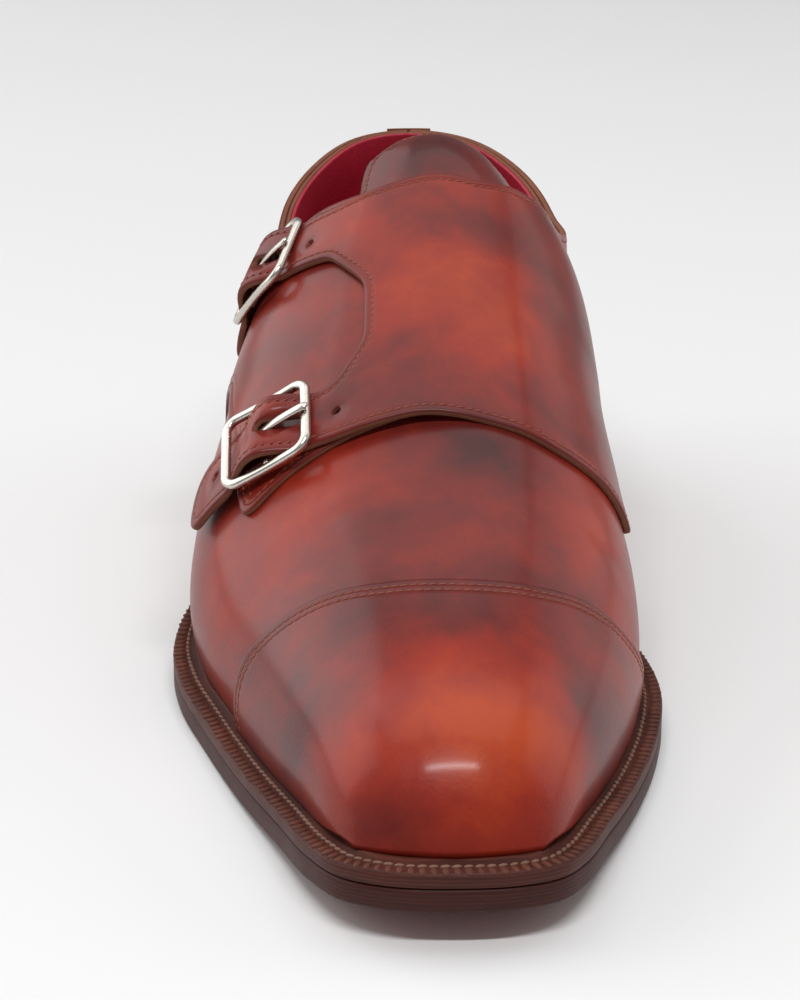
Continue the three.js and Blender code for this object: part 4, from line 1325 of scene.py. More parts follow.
class RunOfPieces(NodeTree):
    """Geometry Nodes tree that lays small rounded pieces one after another along a path."""

    def __init__(self) -> None:
        """Build the tree with its named inputs."""
        self.tree = bpy.data.node_groups.new("run_of_pieces", "GeometryNodeTree")
        self.inputs = {}
        kinds = {"Path": "NodeSocketGeometry", "Finish": "NodeSocketMaterial"}
        for name in ("Path", "Pitch", "Length", "Width", "Height", "Slant", "Unevenness", "Finish"):
            socket = self.tree.interface.new_socket(
                name, in_out="INPUT", socket_type=kinds.get(name, "NodeSocketFloat"))
            self.inputs[name] = socket.identifier
        self.tree.interface.new_socket("Pieces", in_out="OUTPUT", socket_type="NodeSocketGeometry")
        given = self.node("NodeGroupInput").outputs
        curve = self.node("GeometryNodeMeshToCurve", {}, {0: given["Path"]})
        walk = self.node("GeometryNodeResampleCurve", {"mode": "LENGTH"}, {
            "Curve": curve.outputs[0], "Length": given["Pitch"]})
        outward = self.node("GeometryNodeInputNamedAttribute", {"data_type": "FLOAT_VECTOR"},
                            {"Name": "outward"})
        upright = self.node("FunctionNodeAlignRotationToVector", {"axis": "Z"}, {
            "Vector": outward.outputs[0]})
        tangent = self.node("GeometryNodeInputTangent")
        along = self.node("FunctionNodeAlignRotationToVector", {"axis": "X", "pivot_axis": "Z"}, {
            "Rotation": upright.outputs[0], "Vector": tangent.outputs[0]})
        turn = self.node("ShaderNodeCombineXYZ", {}, {"Z": given["Slant"]})
        euler = self.node("FunctionNodeEulerToRotation", {}, {0: turn.outputs[0]})
        slanted = self.node("FunctionNodeRotateRotation", {"rotation_space": "LOCAL"}, {
            0: along.outputs[0], 1: euler.outputs[0]})
        grain = self.node("GeometryNodeMeshUVSphere", {}, {
            "Segments": 8, "Rings": 6, "Radius": 0.5})
        size = self.node("ShaderNodeCombineXYZ", {}, {
            "X": given["Length"], "Y": given["Width"], "Z": given["Height"]})
        shaped = self.node("GeometryNodeTransform", {}, {
            "Geometry": grain.outputs[0], "Scale": size.outputs[0]})
        spread = {0: 1.0, 1: given["Unevenness"]}
        least = self.node("ShaderNodeMath", {"operation": "SUBTRACT"}, spread)
        most = self.node("ShaderNodeMath", {"operation": "ADD"}, spread)
        chance = self.node("FunctionNodeRandomValue", {"data_type": "FLOAT"}, {
            2: least.outputs[0], 3: most.outputs[0], "Seed": 7})
        laid = self.node("GeometryNodeInstanceOnPoints", {}, {
            "Points": walk.outputs[0], "Instance": shaped.outputs[0],
            "Rotation": slanted.outputs[0], "Scale": chance.outputs[1]})
        real = self.node("GeometryNodeRealizeInstances", {}, {0: laid.outputs[0]})
        soft = self.node("GeometryNodeSetShadeSmooth", {}, {0: real.outputs[0]})
        dyed = self.node("GeometryNodeSetMaterial", {}, {
            "Geometry": soft.outputs[0], "Material": given["Finish"]})
        output = self.node("NodeGroupOutput")
        self.tree.links.new(dyed.outputs[0], output.inputs[0])

    def lay(self, name: str, paths: Sequence[tuple[Array, Array]], sizes: dict[str, float],
            finish: bpy.types.Material) -> bpy.types.Mesh:
        """Lay pieces along paths.

        Args:
            name: Name of the mesh.
            paths: Points in millimetres and their outward directions, path by path.
            sizes: Values of the tree's inputs; lengths in millimetres.
            finish: Material of the pieces.

        Returns:
            A plain mesh in metres.
        """
        points, edges, outward = [], [], []
        for line, normals in paths:
            start = len(points)
            points += (line * MM).tolist()
            outward += normals.tolist()
            edges += [(start + i, start + i + 1) for i in range(len(line) - 1)]
        mesh = bpy.data.meshes.new(name + "_path")
        mesh.from_pydata(points, edges, [])
        layer = mesh.attributes.new("outward", "FLOAT_VECTOR", "POINT")
        layer.data.foreach_set("vector", np.array(outward, np.float32).reshape(-1))
        carrier = bpy.data.objects.new(name + "_path", mesh)
        bpy.context.scene.collection.objects.link(carrier)
        modifier = carrier.modifiers.new("run", "NODES")
        modifier.node_group = self.tree
        for key, value in sizes.items():
            scale = 1.0 if key in ("Slant", "Unevenness") else MM
            modifier[self.inputs[key]] = value * scale
        modifier[self.inputs["Finish"]] = finish
        graph = bpy.context.evaluated_depsgraph_get()
        result = bpy.data.meshes.new_from_object(carrier.evaluated_get(graph), depsgraph=graph)
        result.name = name
        carrier.modifiers.remove(modifier)
        bpy.data.objects.remove(carrier)
        bpy.data.meshes.remove(mesh)
        return result


# ---- bottom of the shoe ----

@dataclass
class Bottom:
    """Outsole, welt, insole, heel and top piece."""

    last: Last
    workshop: Workshop
    runs: RunOfPieces
    steps: int = 240
    heel_length: float = 72.0
    top_piece: float = 6.0
    heel_block: float = 19.0
    heel_taper: float = 1.4
    breast_hollow: float = 3.0
    breast_strips: int = 226
    insole_thickness: float = 4.0
    lifts: int = 3
    rib_pitch: float = 2.15
    run_starts: dict[str, float] = field(default_factory=lambda: {"rib": 1.2, "stitch": 1.35})
    rib_finish: StackedEdge = StackedEdge("rib_edge", (0.05, 0.015, 0.01), (0.27, 0.075, 0.042))
    welt_thread: Thread = Thread("welt_thread", (0.09, 0.035, 0.022), (0.25, 0.12, 0.075))

    def _half(self, side: Side, line: Array, inset: Any, until: float | None = None) -> Array:
        """Half line moved inward and walked at even steps, heel first.

        Args:
            side: Side of the line.
            line: Half outline or half feather line.
            inset: Width moved, a number or a function of the share walked.
            until: Length where it ends, if before the toe.

        Returns:
            The walked points.
        """
        arcs = arc_lengths(line)
        width = inset(arcs / arcs[-1]) if callable(inset) else np.full(len(line), float(inset))
        moved = line - self.last.normals[side] * width[:, None]
        arcs = arc_lengths(moved)
        end = arcs[-1]
        if until is not None:
            end = float(np.interp(until, moved[:, 1], arcs))
        walk = np.linspace(0.0, end, self.steps + 1)
        return np.stack([np.interp(walk, arcs, moved[:, k]) for k in (0, 1)], axis=1)

    def loop(self, lines: dict[Side, Array], inset: Any, height: Callable[[Array], Array],
             until: float | None = None, hollow: float = 0.0) -> Array:
        """Closed ring around the shoe.

        Args:
            lines: Half lines that it follows.
            inset: Width moved inward, a number or a function of the share of the half line.
            height: Height at each length.
            until: Length where a heel ends, if it does.
            hollow: Depth of the curve across the heel's breast.

        Returns:
            Points in the frame, inner side first.
        """
        halves = [self._half(side, lines[side], inset, until) for side in (Side.INNER, Side.OUTER)]
        ring = [halves[0]]
        if until is not None:
            t = np.linspace(0, 1, 42)[1:-1, None]
            breast = halves[0][-1] * (1 - t) + halves[1][-1] * t
            breast[:, 1] -= hollow * (1 - (2 * t[:, 0] - 1) ** 2)
            ring.append(breast)
        ring.append(halves[1][::-1])
        flat = np.vstack(ring)
        return self.last.placed(np.column_stack([flat, height(flat[:, 1])]))

    def _layered(self, rows: Sequence[tuple[Any, float]], lines: dict[Side, Array],
                 capped: bool = True) -> Body:
        """Body from rows of inset and height above the sole's underside.

        Args:
            rows: Insets and heights.
            lines: Half lines that it follows.
            capped: Whether it is closed across; if not, it is a ring.

        Returns:
            The closed body.
        """
        rings = [self.loop(lines, inset, lambda u, h=rise: self.last.under(u) + h)
                 for inset, rise in rows]
        layer = np.concatenate([np.full(len(rings[0]), rise) for _, rise in rows])
        return ring_body(rings, capped, {"layer": layer})

    def outsole(self) -> None:
        """Leather outsole with rounded edges."""
        t = self.last.sole
        rows = ((22.0, 0.0), (3.0, 0.0), (1.1, 0.02), (0.45, 0.18), (0.12, 0.5), (0.0, 1.0),
                (0.0, 2.4), (0.0, t - 1.0), (0.1, t - 0.5), (0.34, t - 0.16), (0.8, t - 0.02),
                (9.0, t))
        body = self._layered(rows, self.last.outline)
        heights = body.stored["layer"]
        body.finish_of_face = [int(max(heights[i] for i in face) < 0.1) for face in body.faces]
        self.workshop.piece("outsole_leather", body, (StackedEdge(), SoleLeather()), "outsole",
                            ("outsole",))

    def welt(self) -> None:
        """Welt with its ribs and stitches."""
        last = self.last
        low, high = last.sole + 0.04, last.sole + last.gap + last.welt
        margin = self.margin
        rows = [(0.8, low), (0.3, low + 0.12), (0.02, low + 0.5), (0.0, low + 1.2),
                (0.0, high - 0.8), (0.1, high - 0.35), (0.4, high - 0.08), (0.9, high),
                (lambda f: 0.55 * margin(f), high), (lambda f: margin(f) - 0.55, high + 0.02),
                (lambda f: margin(f) + 0.1, high + 0.42), (lambda f: margin(f) + 1.2, high + 0.3),
                (lambda f: margin(f) + 1.2, low)]
        body = self._layered(rows, last.outline, False)
        edge = StackedEdge("welt_edge", light=(0.17, 0.036, 0.021))
        self.workshop.piece("welt_leather", body, (edge,), "welt", ("welt",))
        self._welt_runs(high)

    def margin(self, share: Array) -> Array:
        """Width of the welt outside the upper at a share of the half outline."""
        return through_table(self.last.welt_margin, share)

    def _welt_runs(self, high: float) -> None:
        """Lay the ribs of the welt's edge and the stitches behind them.

        Args:
            high: Height of the welt's face above the underside of the sole.
        """
        last = self.last
        paths = {"rib": [], "stitch": []}
        lines = (("rib", lambda f: np.minimum(0.3 * self.margin(f), 1.55), high - 0.12),
                 ("stitch", lambda f: np.minimum(0.62 * self.margin(f), 3.9), high + 0.02))
        for side in Side:
            for key, inset, rise in lines:
                flat = self._half(side, last.outline[side], inset)
                flat = flat[flat[:, 1] > self.heel_length * self.run_starts[key]]
                points = last.placed(np.column_stack([flat, last.under(flat[:, 1]) + rise]))
                slope = np.gradient(points, axis=0)
                across = np.cross(slope, UP)
                outward = unit(np.cross(across, slope))
                paths[key].append((points, outward))
        rib = self.runs.lay("welt_ribs", paths["rib"], {
            "Pitch": self.rib_pitch, "Length": 1.5, "Width": 3.0, "Height": 1.2, "Slant": 0.14,
            "Unevenness": 0.12}, self.workshop.material(self.rib_finish))
        self.workshop.placed("welt_ribs", rib, "welt")
        stitch = self.runs.lay("welt_stitches", paths["stitch"], {
            "Pitch": self.rib_pitch, "Length": 2.05, "Width": 1.0, "Height": 0.75, "Slant": 0.2,
            "Unevenness": 0.08}, self.workshop.material(self.welt_thread))
        self.workshop.placed("welt_stitches", stitch, "welt")

    def insole(self) -> None:
        """Insole with its leather sock."""
        last = self.last
        low = last.sole + last.gap
        high = low + self.insole_thickness
        edge = lambda f: last.wall + 1.1 + 0.6 * f
        rows = ((0.0, low), (0.0, high - 0.7), (0.25, high - 0.2), (0.8, high), (8.0, high - 0.1))
        rings = [self.loop(last.feather, (lambda f, d=inset: edge(f) + d),
                           lambda u, h=rise: last.under(u) + h) for inset, rise in rows]
        self.workshop.piece("insole_sock", ring_body(rings), (LiningLeather("sock_leather"),),
                            "insole", ("insole",))

    def heel(self) -> None:
        """Stacked heel block and its top piece."""
        last = self.last
        foot, breast, rows = self.top_piece, (self.heel_length, self.breast_hollow), []
        for lift in range(self.lifts):
            a, b = lift / self.lifts, (lift + 1) / self.lifts
            rows += [(0.16, a), (0.0, a + 0.03), (0.0, b - 0.03), (0.16, b)]
        rings, layers = [], []
        for dent, share in rows:
            inset = 0.4 + self.heel_taper * 0.7 * (1 - share) + dent
            height = lambda u, s=share: foot + 0.04 + s * (last.under(u) - foot - 0.08)
            rings.append(self.loop(last.outline, inset, height, *breast))
            layers.append(np.full(len(rings[0]), foot + share * self.heel_block))
        body = ring_body(rings, True, {"layer": np.concatenate(layers)}, self.breast_strips)
        edge = StackedEdge("heel_edge", ply=1.5, roughness=0.32)
        self.workshop.piece("heel_lifts", body, (edge,), "heel_stack", ("heel_stack",))
        rows = ((1.9, 0.0), (1.25, 0.0), (0.9, 0.12), (0.7, 0.45), (0.62, 1.0),
                (0.25, foot - 0.6), (0.3, foot - 0.15), (0.6, foot))
        rings = [self.loop(last.outline, 0.72 + self.heel_taper * 0.2 + inset,
                           lambda u, h=rise: 0 * u + h, *breast) for inset, rise in rows]
        body = ring_body(rings, strips=self.breast_strips)
        self.workshop.piece("heel_top_piece_rubber", body, (TopPieceRubber(),),
                            "heel_top_piece", ("heel_top_piece",))

    def build(self) -> None:
        """Make every piece of the bottom."""
        self.outsole()
        self.welt()
        self.insole()
        self.heel()


# ---- the upper ----

@dataclass
class Patina:
    """Where the dye was rubbed lighter or darker by hand: station, girth, reaches, amount."""

    spots: Table = (
        (162, -6, 20, 22, 0.75), (186, 8, 16, 18, 0.2), (150, 2, 8, 14, -0.95),
        (166, 14, 7, 8, -0.35), (176, 44, 30, 13, -0.45), (206, -5, 8, 30, -0.2),
        (222, 6, 9, 14, -0.8), (229, 34, 9, 11, 0.55), (226, -30, 12, 16, 0.75),
        (240, -2, 9, 20, -0.3), (243, 34, 8, 12, 0.2), (258, 0, 8, 30, -0.5),
        (307, 0, 15, 26, 1.1), (286, -4, 12, 24, 0.1), (272, 0, 9, 30, -0.45),
        (288, 34, 14, 9, -0.45), (288, -34, 14, 9, -0.45), (60, -60, 30, 30, -0.25),
        (100, 70, 26, 20, 0.45), (60, 60, 24, 20, -0.3), (20, 40, 20, 30, -0.4),
        (130, 80, 16, 16, 0.3), (175, -42, 14, 12, -0.4), (110, -80, 24, 20, 0.25),
        (20, -50, 22, 30, -0.35), (318, 0, 8, 40, -0.25))

    def tone(self, station: Array, girth: Array) -> Array:
        """Lightening at pattern points, from about -1 to 1.

        Args:
            station: Stations of the points.
            girth: Signed girths of the points.

        Returns:
            One amount for each.
        """
        out = np.zeros(len(station))
        for at_station, at_girth, long, wide, amount in self.spots:
            out += amount * np.exp(-((station - at_station) / long) ** 2
                                   - ((girth - at_girth) / wide) ** 2)
        return out


@dataclass
class Buckle:
    """One buckle with its bar, prong and tab, set on the outer side of the shoe."""

    label: str
    at: tuple[float, float]
    run: tuple[float, float]
    last: Last
    reach: float = 11.2
    half_width: float = 10.8
    corner: float = 3.4
    bar_half: float = 1.15
    bar_radius: float = 0.8
    prong_half: float = 1.2
    prong_thickness: float = 1.2
    tab_half: float = 6.5
    tab_thickness: float = 1.0
    over_quarter: float = 2.2
    strap: float = 1.7
    strap_half: float = 8.5
    play: float = 0.15

    def __post_init__(self) -> None:
        """Work out the buckle's own axes and the heights of its bars."""
        last, step = self.last, 2.0
        station, girth = (np.array([v]) for v in self.at)
        self.origin = last.point(station, girth)[0]
        self.z = last.normal(station, girth)[0]
        x = (last.point(station + step * self.run[0], girth + step * self.run[1])
             - last.point(station - step * self.run[0], girth - step * self.run[1]))[0]
        self.stretch = float(np.linalg.norm(x)) / (2 * step)
        self.x = unit(x - self.z * float(x @ self.z))
        self.y = np.cross(self.z, self.x)
        clear = self.over_quarter + self.strap + last.gap + self.bar_half + 0.2
        self.near = self.height_over(-self.reach, clear)
        self.far = self.height_over(self.reach, clear)
        self.centre = (self.over_quarter + self.tab_thickness + self.play + self.bar_radius
                       + self.play)

    def pattern(self, along: Array, across: Array) -> tuple[Array, Array]:
        """Station and girth of places along and across the strap."""
        return (self.at[0] + along * self.run[0] + across * self.run[1],
                self.at[1] + along * self.run[1] - across * self.run[0])

    def strap_place(self, station: Array, girth: Array) -> tuple[Array, Array]:
        """Places along and across the strap of pattern points."""
        dx, dy = station - self.at[0], girth - self.at[1]
        return dx * self.run[0] + dy * self.run[1], dx * self.run[1] - dy * self.run[0]

    def height_over(self, along: float, level: float) -> float:
        """Greatest height above the buckle's plane of a level over the upper.

        Args:
            along: Place along the strap.
            level: Height above the upper.

        Returns:
            The height at the highest of three places across.
        """
        across = np.array([-self.strap_half, 0.0, self.strap_half])
        station, girth = self.pattern(np.full(3, along / self.stretch), across)
        points = self.last.point(station, girth) + self.last.normal(station, girth) * level
        return float(((points - self.origin) @ self.z).max())

    def frame_height(self, x: Array) -> Array:
        """Height of the frame's line through its three bars.

        Args:
            x: Places along the strap.

        Returns:
            A height for each.
        """
        t = x / self.reach
        bow = (self.near + self.far) / 2 - self.centre
        return self.centre + (self.far - self.near) / 2 * t + bow * t * t

    def into_shoe(self, body: Body) -> Body:
        """Body given on the buckle's axes, carried onto the shoe."""
        body.points = self.origin + body.points @ np.stack([self.x, self.y, self.z])
        return body

    @staticmethod
    def sweep(path: Array, half_width: Any, half_height: Any, closed: bool, sideways: Array,
              power: float = 2.0, sides: int = 20) -> Body:
        """Body swept along a path with an oval or squared section.

        Args:
            path: Points of its middle line.
            half_width: Half width across, a number or one for each point.
            half_height: Half height, likewise.
            closed: Whether the path is a loop.
            sideways: Direction that the width is measured against.
            power: 2 for an oval section, more for a squarer one.
            sides: Number of sides of the section.

        Returns:
            The closed body.
        """
        count = len(path)
        if closed:
            forward = np.roll(path, -1, axis=0) - np.roll(path, 1, axis=0)
        else:
            forward = np.gradient(path, axis=0)
        forward = unit(forward)
        wide = unit(np.cross(sideways, forward))
        tall = np.cross(forward, wide)
        angle = 2 * np.pi * (np.arange(sides) + 0.5) / sides
        c, s = np.cos(angle), np.sin(angle)
        c, s = (np.sign(v) * np.abs(v) ** (2 / power) for v in (c, s))
        w = np.broadcast_to(np.asarray(half_width, float), count)[:, None]
        h = np.broadcast_to(np.asarray(half_height, float), count)[:, None]
        rings = (path[:, None] + wide[:, None] * (w * c)[..., None]
                 + tall[:, None] * (h * s)[..., None])
        faces = []
        for i in range(count if closed else count - 1):
            a, b = i * sides, ((i + 1) % count) * sides
            faces += [(a + k, a + (k + 1) % sides, b + (k + 1) % sides, b + k)
                      for k in range(sides)]
        if not closed:
            faces.append(tuple(range(sides))[::-1])
            faces.append(tuple(range((count - 1) * sides, count * sides)))
        return Body(rings.reshape(-1, 3), faces).outward()

    def frame_body(self) -> Body:
        """Rounded rectangular frame with its centre bar.

        Returns:
            The body on the shoe.
        """
        path = []
        for sx, sy, turn in ((1, 1, 0), (-1, 1, 90), (-1, -1, 180), (1, -1, 270)):
            for angle in np.radians(turn + np.linspace(0, 90, 11)):
                path.append((sx * (self.reach - self.corner) + self.corner * math.cos(angle),
                             sy * (self.half_width - self.corner) + self.corner * math.sin(angle)))
        flat = resampled(np.array(path), 0.55, True)
        line = np.column_stack([flat, self.frame_height(flat[:, 0])])
        loop = self.sweep(line, self.bar_half, self.bar_half * 0.85, True, UP, 2.6)
        ends = np.linspace(-self.half_width + 0.1, self.half_width - 0.1, 12)
        bar = np.column_stack([0 * ends, ends, 0 * ends + self.centre])
        rod = self.sweep(bar, self.bar_radius, self.bar_radius, False, UP, 2.0, 14)
        return self.into_shoe(loop.joined(rod))

    def prong_body(self) -> Body:
        """Prong curled round the bar, its tip resting on the near bar.

        Returns:
            The body on the shoe.
        """
        radius = self.bar_radius + self.play + self.prong_thickness / 2
        angle = np.radians(np.linspace(-160, 95, 22))
        path = [(radius * math.cos(a), 0.0, self.centre + radius * math.sin(a)) for a in angle]
        rest = self.near + self.bar_half * 0.85 + 0.12 + self.prong_thickness / 2
        start = np.array([0.0, self.centre + radius])
        for t in np.linspace(0.12, 1, 12):
            height = start[1] * (1 - t) + rest * t + 1.0 * t * (1 - t)
            path.append((-self.reach * t, 0.0, height))
        path.append((-self.reach - 0.9, 0.0, rest - 0.04))
        path.append((-self.reach - 1.6, 0.0, rest - 0.12))
        line = np.array(path)
        taper = np.ones(len(line))
        taper[-3:] = (0.97, 0.8, 0.45)
        body = self.sweep(line, self.prong_thickness / 2 * taper, self.prong_half * taper, False,
                          ACROSS, 2.6, 14)
        return self.into_shoe(body)

    def tab_body(self) -> Body:
        """Leather tab that holds the bar, folded round it and slotted for the prong.

        Returns:
            The body on the shoe.
        """
        radius = self.bar_radius + self.play + self.tab_thickness / 2
        level = self.over_quarter + self.tab_thickness / 2
        path = [(x, 0.0, self.height_over(x, level)) for x in np.linspace(7, 2.6, 6)]
        path += [(radius * math.cos(a), 0.0, self.centre + radius * math.sin(a))
                 for a in np.radians(np.linspace(-90, -330, 24))]
        line = resampled(np.array(path), 0.5)
        whole = None
        slot = self.prong_half + 0.4
        for low, high in ((-self.tab_half, -slot), (slot, self.tab_half)):
            half = (high - low) / 2
            moved = line + np.array([0.0, (low + high) / 2, 0.0])
            part = self.sweep(moved, self.tab_thickness / 2, half, False, ACROSS, 6.0, 24)
            whole = part if whole is None else whole.joined(part)
        count = len(whole.points)
        whole.stored = {"edge": np.full(count, 1.0), "tone": np.full(count, -0.2)}
        return self.into_shoe(whole)

    def build(self, workshop: Workshop) -> None:
        """Make the buckle's three pieces.

        Args:
            workshop: Workshop that makes the pieces.
        """
        metal = PolishedNickel()
        workshop.piece(f"buckle_{self.label}_frame", self.frame_body(), (metal,), "buckle_metal",
                       (f"buckle_frame_{self.label}",))
        workshop.piece(f"buckle_{self.label}_prong", self.prong_body(), (metal,), "buckle_metal",
                       (f"buckle_prong_{self.label}",))
        workshop.piece(f"buckle_{self.label}_tab", self.tab_body(), (PatinaLeather(),),
                       "buckle_tab", (f"buckle_tab_{self.label}",))


@dataclass
class Upper:
    """Vamp, toe cap, quarters with their straps, tongue, lining and all their stitching."""

    last: Last
    workshop: Workshop
    runs: RunOfPieces
    buckles: list[Buckle]
    patina: Patina = field(default_factory=Patina)
    skin: float = 1.25
    cap: float = 1.2
    quarter: float = 1.5
    panel: float = 1.7
    tongue: float = 1.6
    tongue_drop: float = 0.6
    strap_hump: float = 4.5
    hump_reach: float = 12.0
    strap_level: float = 2.0
    stitch_in: float = 2.0
    cap_rows: tuple[float, float] = (2.0, 3.75)
    base_points: int = 40
    collar_points: int = 60
    cap_line: Table = (
        (-80, 12.9), (-66, 12.84), (-55, 12.76), (-43, 12.84), (-29, 12.94), (-13, 13.12),
        (0, 13.19), (14, 13.1), (29, 12.84), (44, 12.56), (60, 12.18), (75, 11.9))
    quarter_front: Table = (
        (136, -14, 3), (210, -14, 3), (211.5, -27, 12), (214, -42, 10), (217.5, -55, 5),
        (190, -62, 40), (158, -72, 12), (148, -82, 14), (145, -108, 10))
    panel_front: Table = (
        (146, 102, 8), (150, 82, 12), (160, 72, 10), (185, 61, 40), (206, 53, 4), (214, 23, 40),
        (212, -12, 60), (212.6, -30, 30), (207.8, -58, 30), (204.4, -75, 7.5), (190, -73, 7),
        (191.2, -57, 30), (196.8, -32, 7), (184, -25, 12), (164, -26, 14), (150, -36, 8),
        (135.4, -69.8, 30), (129.4, -84, 7), (115.4, -78, 7), (120, -65.4, 30), (133, -34, 20))
    # place along the strap, half length of the straight part, radius of each hole
    strap_holes: Table = ((-4.0, 3.6, 1.3), (-17.6, 0.0, 0.85), (17.0, 0.0, 0.85))
    tongue_outline: Table = (
        (107, -27, 20), (104, 29, 19), (150, 34, 12), (186, 27, 12), (186, -30, 12), (140, -36, 14))

    def _stored(self, station: Array, girth: Array, edge: Array) -> dict[str, Array]:
        """What the leather's finish reads from each point."""
        return {"edge": np.minimum(edge, 12.0), "tone": self.patina.tone(station, girth)}

    def _shell(self, high: float, low: float) -> Body:
        """Closed shell of the whole upper between two levels.

        Args:
            high: Level of its outer face.
            low: Level of its inner face.

        Returns:
            The closed body.
        """
        last = self.last
        front = last.collar_front
        rows = np.unique(np.concatenate([
            np.linspace(0, 6, 66), front - (front - 6) * np.linspace(1, 0, 26) ** 2,
            np.linspace(front, 13, 66), np.linspace(13, last.last_row, 84)]))
        rim = [0.974, 0.982, 0.988, 0.993, 0.997, 1.0]
        shares = np.concatenate([np.linspace(0, 0.965, 50), rim])
        tops, lows, faces, stations, girths, edges = [], [], [], [], [], []
        start = 0
        for side in (Side.INNER, Side.OUTER):
            grid_row, grid_share = (m.reshape(-1) for m in np.meshgrid(rows, shares, indexing="ij"))
            cut = last.cut_at(grid_row, side)
            t = cut * grid_share
            girth = last.girth_at(grid_row, side, t)
            girth = np.where(np.abs(girth) < 1e-6, 0.0, girth)
            station = last.station_of(grid_row)
            collar = np.abs(girth) - np.abs(last.girth_at(grid_row, side, cut))
            collar = np.where(cut < 1.0, collar, 12.0)
            rounded = rounding(collar, 0.45)
            flat = (grid_share == 0) | (grid_row >= last.last_row - 1e-9)
            tops.append(last.lifted(station, girth, high - 0.4 * rounded, flat=flat))
            lows.append(last.lifted(station, girth, low + 0.35 * rounded, flat=flat))
            faces += grid_faces(len(rows), len(shares), start, side is Side.OUTER)
            start += len(grid_row)
            stations.append(station)
            girths.append(girth)
            edges.append(np.abs(collar))
        faces = [face[::-1] for face in faces]
        stored = self._stored(*(np.concatenate(v) for v in (stations, girths, edges)))
        return slab(np.vstack(tops), np.vstack(lows), faces, stored)

    def vamp(self) -> None:
        """Leather of the vamp, which also backs the quarters."""
        body = self._shell(0.0, -self.skin)
        self.workshop.piece("vamp_leather", body, (PatinaLeather(), RawEdge()), "upper", ("upper",))

    def lining(self) -> None:
        """Dyed lining inside the upper."""
        body = self._shell(-self.skin - 0.02, -self.last.wall)
        body.finish_of_face = None
        self.workshop.piece("lining_leather", body, (LiningLeather(),), "upper")

    def toe_cap(self) -> None:
        """Toe cap with its turned edge and double stitching."""
        last = self.last
        near = np.array([0, 0.12, 0.3, 0.55, 0.9, 1.35, 1.7, 1.95, 2.2, 2.6, 3.1, 3.45, 3.7,
                         3.95, 4.4, 5.2])
        shares = np.linspace(0, 1, 64)
        rest = np.linspace(0, 1, 60)[1:]
        end = last.stations[-1]
        tops, lows, faces, stations, girths, edges, start = [], [], [], [], [], [], 0
        lines = {distance: [] for distance in self.cap_rows}
        for side in (Side.INNER, Side.OUTER):
            edge_row = np.full(len(shares), 13.0)
            for _ in range(9):
                edge_row = through_table(self.cap_line, last.girth_at(edge_row, side, shares))
            edge = last.station_of(edge_row)
            onward = (edge + near[-1])[None] * (1 - rest[:, None]) + end * rest[:, None]
            walk = np.concatenate([near[:, None] + edge[None], onward])
            station = walk.reshape(-1)
            row = last.row_of(station)
            share = np.tile(shares, len(walk))
            girth = last.girth_at(row, side, share)
            girth = np.where(np.abs(girth) < 1e-6, 0.0, girth)
            inward = station - np.tile(edge, len(walk))
            grooves = 0.13 * sum(bump(inward - distance, 0.32) for distance in lines)
            high = 0.05 + self.cap - 0.5 * rounding(inward, 0.6) - grooves
            flat = (share == 0) | (station >= end - 1e-6)
            tops.append(last.lifted(station, girth, high, flat=flat))
            lows.append(last.lifted(station, girth, np.full(len(station), 0.05), flat=flat))
            faces += grid_faces(len(walk), len(shares), start, side is Side.OUTER)
            start += len(station)
            stations.append(station)
            girths.append(girth)
            edges.append(inward)
            for distance, halves in lines.items():
                at = edge + distance
                down = last.girth_at(last.row_of(at), side, shares)
                halves.append(np.stack([at, down], axis=1)[1:])
        faces = [face[::-1] for face in faces]
        stored = self._stored(*(np.concatenate(v) for v in (stations, girths, edges)))
        body = slab(np.vstack(tops), np.vstack(lows), faces, stored)
        self.workshop.piece("toe_cap_leather", body, (PatinaLeather(), RawEdge()), "toe_cap",
                            ("toe_cap",))
        paths = [np.vstack([halves[0], halves[1][::-1]]) for halves in lines.values()]
        level = lambda s, g: np.full(len(s), self.cap - 0.05)
        self.stitch("toe_cap_stitches", paths, level, "toe_cap")

    def stitch(self, name: str, paths: Sequence[Array], level: Callable[[Array, Array], Array],
               slot: str, closed: bool = False) -> None:
        """Stitches along lines in the pattern plane.

        Args:
            name: Name of the piece.
            paths: Lines of stations and girths.
            level: Height of the leather's face above the upper.
            slot: Material slot of the leather.
            closed: Whether the opening is spanned under them.
        """
        laid = []
        for line in paths:
            line = resampled(line, 0.8)
            station, girth = line[:, 0], line[:, 1]
            points = self.last.lifted(station, girth, level(station, girth), closed)
            laid.append((points, self.last.normal(station, girth, closed)))
        sizes = {"Pitch": 2.0, "Length": 1.72, "Width": 0.5, "Height": 0.46, "Slant": 0.1,
                 "Unevenness": 0.06}
        mesh = self.runs.lay(name, laid, sizes, self.workshop.material(Thread()))
        self.workshop.placed(name, mesh, slot)

    def _rear(self, side: Side, base_station: float, front_row: float) -> list[tuple]:
        """Rear boundary of a quarter: base line, back seam, then the collar line.

        Args:
            side: Side of the quarter.
            base_station: Station where its base line starts.
            front_row: Section row where its collar line ends.

        Returns:
            Corners as station, girth and radius.
        """
        last, rows = self.last, []
        start = float(last.row_of(0.45))
        end = float(last.row_of(base_station))
        for row in np.linspace(end, start, self.base_points):
            down = float(last.total_at(row, side)) - 0.25
            rows.append((float(last.station_of(row)), side.value * down, 0))
        for row in np.linspace(start, front_row, self.collar_points):
            cut = last.cut_at(np.array([row]), side)
            rows.append((float(last.station_of(row)),
                         float(last.girth_at(np.array([row]), side, cut)[0]), 0))
        return rows

